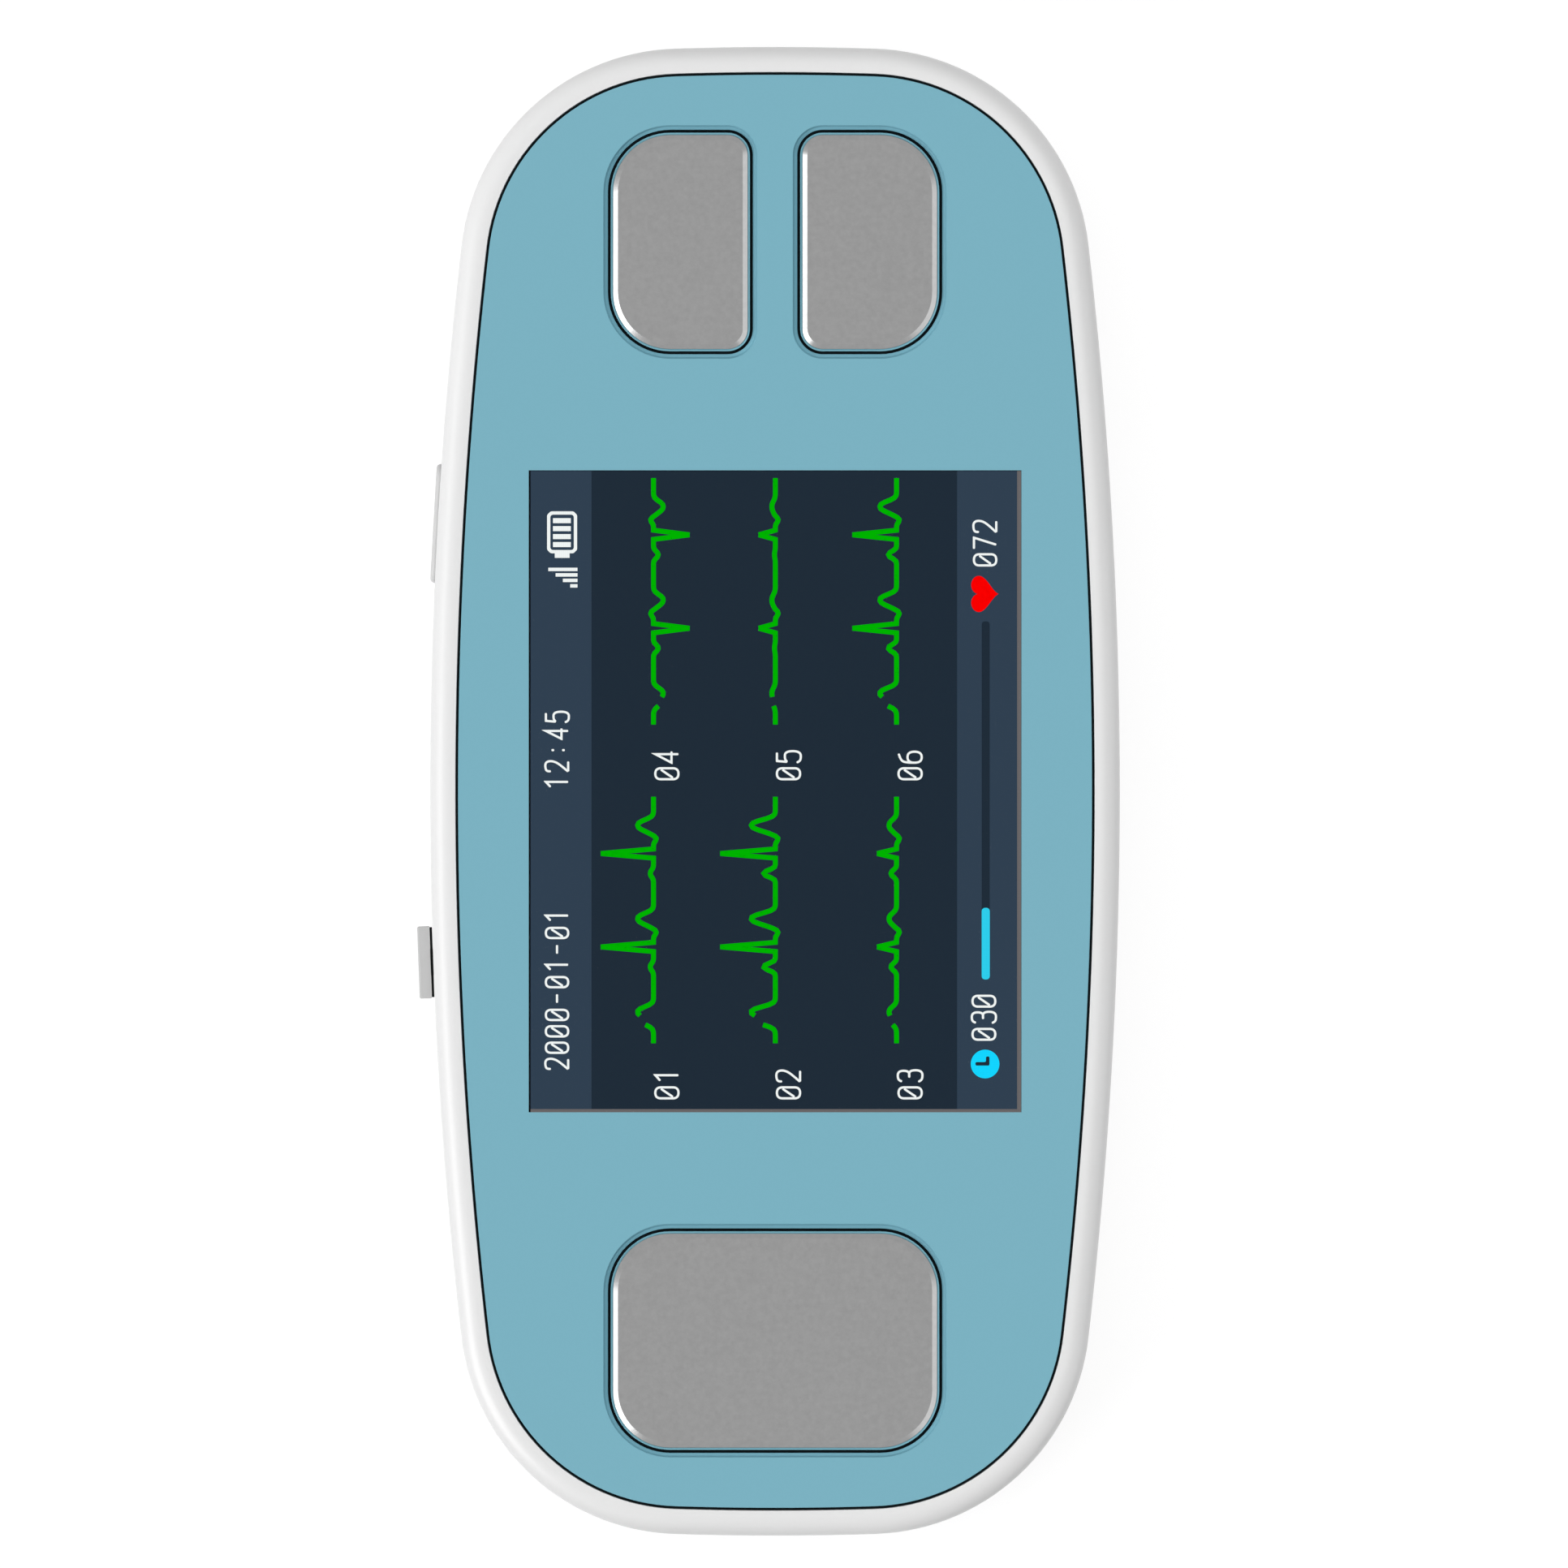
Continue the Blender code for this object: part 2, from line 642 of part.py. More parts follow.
def make_rear_shell():
    """The rear moulding: a shallow tray with round edges, a tongue, screw posts and battery ribs."""
    round_top = REAR_FACE_Z + REAR_ROUND_HEIGHT
    outside = round_section(0, REAR_ROUND_WIDTH, round_top, REAR_FACE_Z, REAR_ROUND_STEPS)
    inside = round_section(CASE_WALL, REAR_ROUND_WIDTH, round_top, FLOOR_Z, REAR_INSIDE_STEPS)
    edge = [
        (0, SEAM_Z - SEAM_CHAMFER),
        (SEAM_CHAMFER, SEAM_Z),
        (SKIRT_WALL + TONGUE_GAP, SEAM_Z),
        (SKIRT_WALL + TONGUE_GAP, TONGUE_TOP_Z),
        (CASE_WALL, TONGUE_TOP_Z),
    ]
    shell = add_piece("rear_shell", case_loft(outside[::-1] + edge + inside), "white_case_plastic")

    post_top = BOARD_Z - BOSS_DROP
    posts = cylinders(case_screw_places(), POST_RADIUS, FLOOR_Z - BOND, post_top)
    apply_tool(shell, add_tool("rear_posts", posts), "UNION")
    apply_tool(shell, add_tool("battery_ribs", battery_ribs()), "UNION")

    recess = rounded(
        centred(REAR_PLATE_WIDTH, REAR_PLATE_LENGTH), REAR_PLATE_RADIUS, REAR_PLATE_RADIUS, -REAR_PLATE_GAP
    )
    recess_rings = [(recess, REAR_FACE_Z - OVERRUN), (recess, REAR_PLATE_THICKNESS)]
    apply_tool(shell, add_tool("rear_plate_recess", loft(recess_rings)))
    stud_hole = cylinders([rear_stud_place()], STUD_RADIUS + STUD_CLEARANCE, 0, FLOOR_Z + OVERRUN)
    apply_tool(shell, add_tool("rear_stud_hole", stud_hole))

    holes = bmesh.new()
    head = CASE_SCREW_HEAD_RADIUS + HEAD_RECESS_CLEARANCE
    shank = CASE_SCREW_RADIUS + SCREW_CLEARANCE
    for place in case_screw_places():
        rings = [
            (circle(place, head, SCREW_SIDES), REAR_FACE_Z - OVERRUN),
            (circle(place, head, SCREW_SIDES), FLOOR_Z),
            (circle(place, shank, SCREW_SIDES), FLOOR_Z),
            (circle(place, shank, SCREW_SIDES), post_top + OVERRUN),
        ]
        append_mesh(holes, loft(rings))
    apply_tool(shell, add_tool("case_screw_holes", holes))


def append_mesh(bm, other):
    """Adds one mesh to another as a separate body."""
    copy = bpy.data.meshes.new("copy")
    other.to_mesh(copy)
    other.free()
    bm.from_mesh(copy)
    bpy.data.meshes.remove(copy)


def battery_ribs():
    """Two pairs of ribs on the rear shell's floor, which keep the battery in place."""
    bm = bmesh.new()
    inner = CELL_WIDTH / 2 + CELL_RIB_GAP
    reach = CELL_LENGTH * CELL_RIB_SHARE / 2
    for side in (-1, 1):
        for end in (-1, 1):
            x = side * (inner + CELL_RIB_THICKNESS / 2)
            y = CELL_CENTRE_Y + end * CELL_LENGTH / 4
            half = CELL_RIB_THICKNESS / 2
            low = (x - half, y - reach / 2, FLOOR_Z - BOND)
            add_block(bm, low, (x + half, y + reach / 2, FLOOR_Z + CELL_RIB_HEIGHT))
    return bm


def make_front_shell():
    """The front moulding: side walls, round rim and a deck, with bosses and side openings."""
    rim = round_section(0, RIM_ROUND, FACE_Z - RIM_ROUND, FACE_Z, RIM_STEPS)
    section = [
        (CASE_WALL, DECK_Z),
        (CASE_WALL, REBATE_Z),
        (SKIRT_WALL, REBATE_Z),
        (SKIRT_WALL, SEAM_Z),
        (SEAM_CHAMFER, SEAM_Z),
        (0, SEAM_Z + SEAM_CHAMFER),
        *rim,
        (RIM_WIDTH, FACE_Z),
        (RIM_WIDTH, GASKET_Z),
    ]
    shell = add_piece("front_shell", case_loft(section), "white_case_plastic")

    bosses = cylinders(case_screw_places(), BOSS_RADIUS, BOARD_Z - BOSS_DROP, DECK_Z + BOND)
    apply_tool(shell, add_tool("front_bosses", bosses), "UNION")
    standoffs = cylinders(standoff_places(), STANDOFF_RADIUS, BOARD_TOP_Z, DECK_Z + BOND)
    apply_tool(shell, add_tool("board_standoffs", standoffs), "UNION")

    low, high = module_corners()
    opening = rectangle(low, high, -DECK_MODULE_GAP)
    opening_rings = [(opening, DECK_Z - OVERRUN), (opening, GASKET_Z + OVERRUN)]
    apply_tool(shell, add_tool("deck_opening", loft(opening_rings)))

    radius = CASE_SCREW_RADIUS + SCREW_CLEARANCE
    screw_end = FLOOR_Z + CASE_SCREW_LENGTH + THREAD_END_GAP
    holes = cylinders(case_screw_places(), radius, BOARD_Z - OVERRUN, screw_end)
    apply_tool(shell, add_tool("boss_holes", holes))
    radius = BOARD_SCREW_RADIUS + SCREW_CLEARANCE
    screw_end = BOARD_Z + BOARD_SCREW_LENGTH + THREAD_END_GAP
    holes = cylinders(standoff_places(), radius, BOARD_Z, screw_end)
    apply_tool(shell, add_tool("standoff_holes", holes))
    radius = BRACKET_SCREW_RADIUS + SCREW_CLEARANCE
    holes = cylinders(ear_screw_places(), radius, DECK_Z - OVERRUN, GASKET_Z + OVERRUN)
    apply_tool(shell, add_tool("ear_holes", holes))
    apply_tool(shell, STUD_HOLES)

    apply_tool(shell, control_opening("button_opening", button_outline(-CONTROL_CLEARANCE), BUTTON_Y))
    apply_tool(shell, control_opening("knob_slot", knob_slot_outline(), KNOB_Y))
    usb_rings = [
        (usb_outline(-USB_OPENING_MARGIN), -CASE_WALL - OVERRUN),
        (usb_outline(-USB_OPENING_MARGIN), OVERRUN),
    ]
    usb_opening = add_tool("usb_opening", loft(usb_rings, turn=ALONG_X))
    usb_opening.location = (CASE_WIDTH / 2, 0, BOARD_TOP_Z)
    apply_tool(shell, usb_opening)


def control_opening(name, outline, y):
    """A cutter through the left wall with the outline of a control's opening."""
    rings = [(outline, -CASE_WALL - OVERRUN), (outline, OVERRUN)]
    tool = add_tool(name, loft(rings, turn=ALONG_X))
    seat_on_left_side(tool, y)
    return tool


def stud_holes():
    """A tool that clears the front electrodes' studs through carriers, gasket and deck."""
    places = [stud_place(corners) for _, corners, _, _ in electrodes()]
    radius = STUD_RADIUS + STUD_CLEARANCE
    return add_tool("stud_holes", cylinders(places, radius, DECK_Z - OVERRUN, FACE_Z + OVERRUN))


def make_front_panel():
    """The blue inlay, with filleted openings for the electrodes and a square window."""
    edge = RIM_WIDTH + RIM_GAP
    section = [
        (edge, PANEL_Z),
        (edge, FACE_Z - PANEL_EDGE_ROUND),
        (edge + PANEL_EDGE_ROUND, FACE_Z),
    ]
    panel = add_piece("front_panel", case_loft(section), "blue_panel_plastic")
    for name, corners, left_radius, right_radius in electrodes():
        rings = [(rounded(corners, left_radius, right_radius), PANEL_Z - OVERRUN)]
        for step in range(PAD_FILLET_STEPS + 1):
            angle = math.pi / 2 * step / PAD_FILLET_STEPS
            flare = PAD_FILLET * (1 - math.cos(angle))
            height = FACE_Z - PAD_FILLET * (1 - math.sin(angle))
            rings.append((rounded(corners, left_radius, right_radius, -flare), height))
        rings.append((rings[-1][0], FACE_Z + OVERRUN))
        apply_tool(panel, add_tool(f"{name}_opening", loft(rings)))
    window = rectangle(*centred(WINDOW_WIDTH, WINDOW_LENGTH))
    window_rings = [(window, PANEL_Z - OVERRUN), (window, FACE_Z + OVERRUN)]
    apply_tool(panel, add_tool("window_opening", loft(window_rings)))


def make_panel_gasket():
    """The black gasket under the panel, with thin lips that fill the gaps round its edges."""
    outer = RIM_WIDTH + LIP_CLEARANCE
    inner = RIM_WIDTH + RIM_GAP - LIP_CLEARANCE
    lip_top = FACE_Z - LIP_DROP
    section = [(outer, GASKET_Z), (outer, lip_top), (inner, lip_top), (inner, PANEL_Z)]
    gasket = add_piece("panel_gasket", case_loft(section), "black_rubber")
    for name, corners, left_radius, right_radius in electrodes():
        outline = [
            rounded(corners, left_radius, right_radius, inset)
            for inset in (LIP_CLEARANCE, PAD_GAP - LIP_CLEARANCE)
        ]
        root = PANEL_Z - GASKET_THICKNESS / 2
        rings = [(outline[0], root), (outline[0], lip_top), (outline[1], lip_top), (outline[1], root)]
        apply_tool(gasket, add_tool(f"{name}_lip", loft(rings, closed=True)), "UNION")
    flange = centred(WINDOW_WIDTH, WINDOW_LENGTH)
    opening = rectangle(*flange, -FLANGE_OVERLAP - STUD_CLEARANCE)
    opening_rings = [(opening, GASKET_Z - OVERRUN), (opening, PANEL_Z + OVERRUN)]
    apply_tool(gasket, add_tool("gasket_opening", loft(opening_rings)))
    apply_tool(gasket, STUD_HOLES)


def make_electrodes():
    """The front electrodes: blasted steel plates with a stud, each in a blue carrier."""
    top = FACE_Z - CARRIER_DROP
    seat = PANEL_Z + CARRIER_FLOOR
    plate_top = FACE_Z + PLATE_PROUD
    for name, corners, left_radius, right_radius in electrodes():
        plate_inset = PAD_GAP + CARRIER_RING + PLATE_GAP
        insets = (PAD_GAP, PAD_GAP + CARRIER_RING, plate_inset, plate_inset + PLATE_CHAMFER_WIDTH)
        outside, ring, plate, plate_face = [
            rounded(corners, left_radius, right_radius, inset) for inset in insets
        ]
        rings = [(outside, PANEL_Z), (outside, top), (ring, top), (ring, seat)]
        carrier = add_piece(f"electrode_carrier_{name}", loft(rings), "blue_panel_plastic")
        apply_tool(carrier, STUD_HOLES)
        stud = circle_facing(plate, stud_place(corners), STUD_RADIUS)
        rings = [
            (stud, seat - STUD_DEPTH),
            (stud, seat),
            (plate, seat),
            (plate, plate_top - PLATE_CHAMFER_HEIGHT),
            (plate_face, plate_top),
        ]
        add_piece(f"electrode_{name}", loft(rings), "blasted_steel")
        add_contact_pin(name, stud_place(corners), BOARD_TOP_Z, seat - STUD_DEPTH - BOARD_TOP_Z)


def make_rear_electrode():
    """The rear electrode, let into the back, with its stud through the shell."""
    corners = centred(REAR_PLATE_WIDTH, REAR_PLATE_LENGTH)
    plate = rounded(corners, REAR_PLATE_RADIUS, REAR_PLATE_RADIUS)
    face = rounded(corners, REAR_PLATE_RADIUS, REAR_PLATE_RADIUS, REAR_PLATE_CHAMFER)
    stud = circle_facing(plate, rear_stud_place(), STUD_RADIUS)
    stud_top = FLOOR_Z + REAR_STUD_RISE
    rings = [
        (face, 0),
        (plate, REAR_PLATE_CHAMFER),
        (plate, REAR_PLATE_THICKNESS),
        (stud, REAR_PLATE_THICKNESS),
        (stud, stud_top),
    ]
    add_piece("rear_electrode", loft(rings), "blasted_steel")
    add_contact_pin("rear", rear_stud_place(), BOARD_Z, BOARD_Z - stud_top, downwards=True)


def add_contact_pin(name, centre, foot, room, downwards=False):
    """A spring contact pin that stands on the board and reaches an electrode's stud."""
    tip = room - PIN_GAP
    shoulder = room * PIN_BARREL_SHARE
    profile = [
        (0, tip),
        (PIN_TIP_RADIUS, tip),
        (PIN_TIP_RADIUS, shoulder),
        (PIN_BARREL_RADIUS, shoulder),
        (PIN_BARREL_RADIUS, PIN_FLANGE_HEIGHT),
        (PIN_FLANGE_RADIUS, PIN_FLANGE_HEIGHT),
        (PIN_FLANGE_RADIUS, 0),
        (0, 0),
    ]
    place = (*centre, foot)
    turned(f"contact_pin_{name}", profile, "gold_plate", PIN_SIDES, place, downwards)


def make_display():
    """The window lens, foam frame, display glass, backlight and the bracket under them."""
    window = centred(WINDOW_WIDTH, WINDOW_LENGTH)
    flange = rectangle(*window, -FLANGE_OVERLAP)
    top = FACE_Z - LENS_DROP
    rings = [
        (flange, LENS_Z),
        (flange, PANEL_Z),
        (rectangle(*window, LENS_GAP), PANEL_Z),
        (rectangle(*window, LENS_GAP), top - LENS_CHAMFER),
        (rectangle(*window, LENS_GAP + LENS_CHAMFER), top),
    ]
    add_piece("display_lens", loft(rings), "clear_acrylic")

    hole = rectangle(*window, FOAM_WIDTH - FLANGE_OVERLAP)
    rings = [(flange, FOAM_Z), (flange, LENS_Z), (hole, LENS_Z), (hole, FOAM_Z)]
    add_piece("display_foam", loft(rings, closed=True), "black_foam")

    low, high = module_corners()
    ledge = (low[0], low[1] + DRIVER_LEDGE)
    step_z = GLASS_Z + LOWER_GLASS_THICKNESS
    rings = [
        (rectangle(low, high), GLASS_Z),
        (rectangle(low, high), step_z),
        (rectangle(ledge, high), step_z),
        (rectangle(ledge, high), FOAM_Z),
    ]
    add_piece("lcd_glass", loft(rings), "display_glass")
    add_piece("backlight", block((*low, BACKLIGHT_Z), (*high, GLASS_Z)), "white_diffuser")
    make_display_bracket(low, high)
    make_display_flex(low)


def make_display_bracket(low, high):
    """A folded steel tray under the display, open at its lower end for the flex."""
    tray_low = (low[0] - MODULE_GAP, low[1], BACKLIGHT_Z)
    bm = block(tray_low, (high[0] + MODULE_GAP, high[1] + MODULE_GAP, DECK_Z))
    open_faces = [face for face in bm.faces if face.normal.z > 0.5 or face.normal.y < -0.5]
    bmesh.ops.delete(bm, geom=open_faces, context="FACES")
    bracket = add_piece("display_bracket", bm, "sheet_steel")
    sheet = bracket.modifiers.new("sheet", "SOLIDIFY")
    sheet.thickness = BRACKET_SHEET
    sheet.offset = 1
    sheet.use_even_offset = True

    ears = bmesh.new()
    for x, y in ear_screw_places():
        reach = (EAR_REACH + BRACKET_SHEET) / 2
        middle = x - math.copysign(BRACKET_SHEET / 2, x)
        ear_low = (middle - reach, y - EAR_LENGTH / 2, DECK_Z - BRACKET_SHEET)
        add_block(ears, ear_low, (middle + reach, y + EAR_LENGTH / 2, DECK_Z))
    apply_tool(bracket, add_tool("bracket_ears", ears), "UNION")
    radius = BRACKET_SCREW_RADIUS + SCREW_CLEARANCE
    holes = cylinders(ear_screw_places(), radius, DECK_Z - OVERRUN, DECK_Z + OVERRUN)
    apply_tool(bracket, add_tool("bracket_ear_holes", holes))
    centre = ((low[0] + high[0]) / 2, (low[1] + high[1]) / 2)
    width = (high[0] - low[0]) * BRACKET_CUTOUT_SHARE
    length = (high[1] - low[1]) * BRACKET_CUTOUT_SHARE
    cut_low, cut_high = centred(width, length, centre)
    cutout = block((*cut_low, BRACKET_Z - OVERRUN), (*cut_high, BACKLIGHT_Z + OVERRUN))
    apply_tool(bracket, add_tool("bracket_cutout", cutout))
    for side, place in zip(("left", "right"), ear_screw_places()):
        add_screw(
            f"bracket_screw_{side}",
            place,
            DECK_Z - BRACKET_SHEET,
            (BRACKET_SCREW_HEAD_RADIUS, BRACKET_SCREW_HEAD, BRACKET_SCREW_RADIUS, BRACKET_SCREW_LENGTH),
        )


def make_display_flex(low):
    """The printed flex, folded from the glass ledge back under the bracket, and its socket."""
    start_z = GLASS_Z + FLEX_THICKNESS
    start_y = low[1] - MODULE_GAP
    fold = (start_y - FLEX_LEAD, start_z - FLEX_FOLD_RADIUS)
    path = [(start_y, start_z)]
    for step in range(FLEX_FOLD_STEPS + 1):
        angle = math.pi / 2 + math.pi * step / FLEX_FOLD_STEPS
        y = fold[0] + FLEX_FOLD_RADIUS * math.cos(angle)
        path.append((y, fold[1] + FLEX_FOLD_RADIUS * math.sin(angle)))
    return_z = path[-1][1]
    socket_y = start_y + FLEX_RETURN
    socket_z = BOARD_TOP_Z + FLEX_SOCKET_SIZE[2] / 2
    path.append((socket_y - FLEX_DIP - FLEX_LEAD, return_z))
    path.append((socket_y - FLEX_LEAD, socket_z))
    path.append((socket_y - MODULE_GAP, socket_z))

    bm = bmesh.new()
    verts = [bm.verts.new((-FLEX_WIDTH / 2, y, z)) for y, z in path]
    edges = [bm.edges.new(pair) for pair in zip(verts, verts[1:])]
    strip = bmesh.ops.extrude_edge_only(bm, edges=edges)["geom"]
    moved = [item for item in strip if isinstance(item, bmesh.types.BMVert)]
    bmesh.ops.translate(bm, verts=moved, vec=(FLEX_WIDTH, 0, 0))
    bmesh.ops.recalc_face_normals(bm, faces=bm.faces)
    flex = add_piece("display_flex", bm, "amber_film")
    film = flex.modifiers.new("film", "SOLIDIFY")
    film.thickness = FLEX_THICKNESS
    film.offset = 0
    film.use_even_offset = True

    width, length, height = FLEX_SOCKET_SIZE
    socket_high = (width / 2, socket_y + length, BOARD_TOP_Z + height)
    socket = block((-width / 2, socket_y, BOARD_TOP_Z), socket_high)
    add_piece("flex_socket", socket, "beige_nylon")


def add_screw(name, place, seat_z, sizes):
    """A screw with its head below the seat and its shank pointing up."""
    head_radius, head_height, shank_radius, length = sizes
    profile = [
        (0, length),
        (shank_radius, length),
        (shank_radius, 0),
        (head_radius, 0),
        (head_radius, -head_height),
        (0, -head_height),
    ]
    turned(name, profile, "zinc_steel", SCREW_SIDES, (*place, seat_z))


def make_screws():
    """The screws that hold the board up to the deck, and the rear shell to the front one."""
    board_sizes = (BOARD_SCREW_HEAD_RADIUS, BOARD_SCREW_HEAD, BOARD_SCREW_RADIUS, BOARD_SCREW_LENGTH)
    for index, place in enumerate(standoff_places(), 1):
        add_screw(f"board_screw_{index}", place, BOARD_Z, board_sizes)
    case_sizes = (CASE_SCREW_HEAD_RADIUS, CASE_SCREW_HEAD, CASE_SCREW_RADIUS, CASE_SCREW_LENGTH)
    for index, place in enumerate(case_screw_places(), 1):
        add_screw(f"case_screw_{index}", place, FLOOR_Z, case_sizes)


def make_main_board():
    """The main board, notched round the case bosses and drilled for its screws."""
    plate = case_loft([(BOARD_INSET, BOARD_Z), (BOARD_INSET, BOARD_TOP_Z)])
    board = add_piece("main_board", plate, "green_laminate")
    low, high = BOARD_Z - OVERRUN, BOARD_TOP_Z + OVERRUN
    notches = cylinders(case_screw_places(), BOSS_RADIUS + BOSS_CLEARANCE, low, high)
    apply_tool(board, add_tool("board_notches", notches))
    radius = BOARD_SCREW_RADIUS + SCREW_CLEARANCE
    holes = cylinders(standoff_places(), radius, low, high)
    apply_tool(board, add_tool("board_holes", holes))


def make_board_parts():
    """The chips, buzzer and radio module soldered to the top of the board."""
    finishes = {"power_inductor": "black_foam", "clock_crystal": "sheet_steel"}
    for name, (width, length, height) in CHIP_SIZES.items():
        share_x, share_y = CHIP_PLACE_SHARES[name]
        corners = centred(width, length, (share_x * CASE_WIDTH / 2, share_y * CASE_LENGTH / 2))
        rings = [
            (rectangle(*corners), BOARD_TOP_Z),
            (rectangle(*corners), BOARD_TOP_Z + height - CHIP_CHAMFER),
            (rectangle(*corners, CHIP_CHAMFER), BOARD_TOP_Z + height),
        ]
        add_piece(name, loft(rings), finishes.get(name, "black_epoxy"))

    top = CASE_LENGTH / 2 - BOARD_INSET - RADIO_EDGE_GAP
    low, high = (-RADIO_WIDTH / 2, top - RADIO_LENGTH), (RADIO_WIDTH / 2, top)
    can_high = (high[0], high[1] - RADIO_AERIAL)
    can_z = BOARD_TOP_Z + RADIO_BOARD
    rings = [
        (rectangle(low, high), BOARD_TOP_Z),
        (rectangle(low, high), can_z),
        (rectangle(low, can_high, RADIO_CAN_MARGIN), can_z),
        (rectangle(low, can_high, RADIO_CAN_MARGIN), can_z + RADIO_CAN_HEIGHT),
    ]
    add_piece("radio_module", loft(rings), "sheet_steel")


def usb_outline(inset=0.0):
    """The charging socket's outline across its mouth, with its height above the board."""
    corners = (-USB_WIDTH / 2, 0), (USB_WIDTH / 2, USB_HEIGHT)
    return rounded(corners, USB_CORNER, USB_CORNER, inset, USB_CORNER_STEPS)


def make_usb_socket():
    """The charging socket: a folded steel shell, open at its mouth, round a tongue."""
    mouth = -USB_SETBACK
    back = mouth - USB_DEPTH
    tongue = circle_facing(usb_outline(), (0, USB_HEIGHT / 2), USB_TONGUE_HEIGHT / 2)
    stretch = (USB_TONGUE_WIDTH - USB_TONGUE_HEIGHT) / 2
    tongue = [(x + math.copysign(stretch, x), y) for x, y in tongue]
    rings = [
        (usb_outline(), back),
        (usb_outline(), mouth),
        (usb_outline(USB_SHELL), mouth),
        (usb_outline(USB_SHELL), back + USB_BACK),
        (tongue, back + USB_BACK),
        (tongue, mouth - USB_TONGUE_SETBACK),
    ]
    socket = add_piece("usb_socket", loft(rings, turn=ALONG_X), "sheet_steel")
    socket.location = (CASE_WIDTH / 2, 0, BOARD_TOP_Z)


def button_outline(inset=0.0):
    """The push button's outline as seen from its side of the case."""
    corners = centred(BUTTON_LENGTH, BUTTON_HEIGHT)
    return rounded(corners, BUTTON_END_RADIUS, BUTTON_END_RADIUS, inset, BUTTON_CORNER_STEPS)


def nub_outline():
    """The outline of the nub on the button's back, with as many points as the button's."""
    radius = min(BUTTON_NUB_LENGTH, BUTTON_NUB_HEIGHT) / 4
    corners = centred(BUTTON_NUB_LENGTH, BUTTON_NUB_HEIGHT)
    return rounded(corners, radius, radius, 0, BUTTON_CORNER_STEPS)


def make_side_button():
    """The long push button, its tactile switch on the board and the switch's plunger."""
    back = -CASE_WALL - RETAINER_GAP
    flange_back = back - BUTTON_FLANGE_THICKNESS
    nub_end = flange_back - BUTTON_NUB_REACH
    rings = [
        (nub_outline(), nub_end),
        (nub_outline(), flange_back),
        (button_outline(-BUTTON_FLANGE), flange_back),
        (button_outline(-BUTTON_FLANGE), back),
        (button_outline(), back),
        (button_outline(), BUTTON_PROUD - BUTTON_EDGE),
        (button_outline(BUTTON_EDGE / 2), BUTTON_PROUD - BUTTON_EDGE / 4),
        (button_outline(BUTTON_EDGE), BUTTON_PROUD),
    ]
    button = add_piece("side_button", loft(rings, turn=ALONG_X), "white_case_plastic")
    seat_on_left_side(button, BUTTON_Y)

    plunger_front = nub_end - PLUNGER_GAP
    plunger_back = plunger_front - PLUNGER_LENGTH
    half_width, half_height = PLUNGER_WIDTH / 2, PLUNGER_HEIGHT / 2
    plunger = block((plunger_back, -half_width, -half_height), (plunger_front, half_width, half_height))
    seat_on_left_side(add_piece("tactile_plunger", plunger, "black_insulation"), BUTTON_Y)

    depth, length, height = TACTILE_SIZE
    face = plunger_front - TACTILE_FACE_GAP
    bottom = BOARD_TOP_Z - CONTROL_Z
    body = block((face - depth, -length / 2, bottom), (face, length / 2, bottom + height))
    switch = add_piece("tactile_switch", body, "sheet_steel")
    seat_on_left_side(switch, BUTTON_Y)
    room = SOCKET_CLEARANCE
    pocket = block(
        (plunger_back - BUTTON_TRAVEL - room, -half_width - room, -half_height - room),
        (face + OVERRUN, half_width + room, half_height + room),
    )
    tool = add_tool("plunger_pocket", pocket)
    seat_on_left_side(tool, BUTTON_Y)
    apply_tool(switch, tool)


def knob_slot_outline():
    """The slot in the wall: the knob's neck, its travel and a clearance all round."""
    half_length = KNOB_NECK_LENGTH / 2 + CONTROL_CLEARANCE
    half_height = KNOB_NECK_HEIGHT / 2 + CONTROL_CLEARANCE
    return rectangle((-half_length, -half_height), (half_length + KNOB_TRAVEL, half_height))


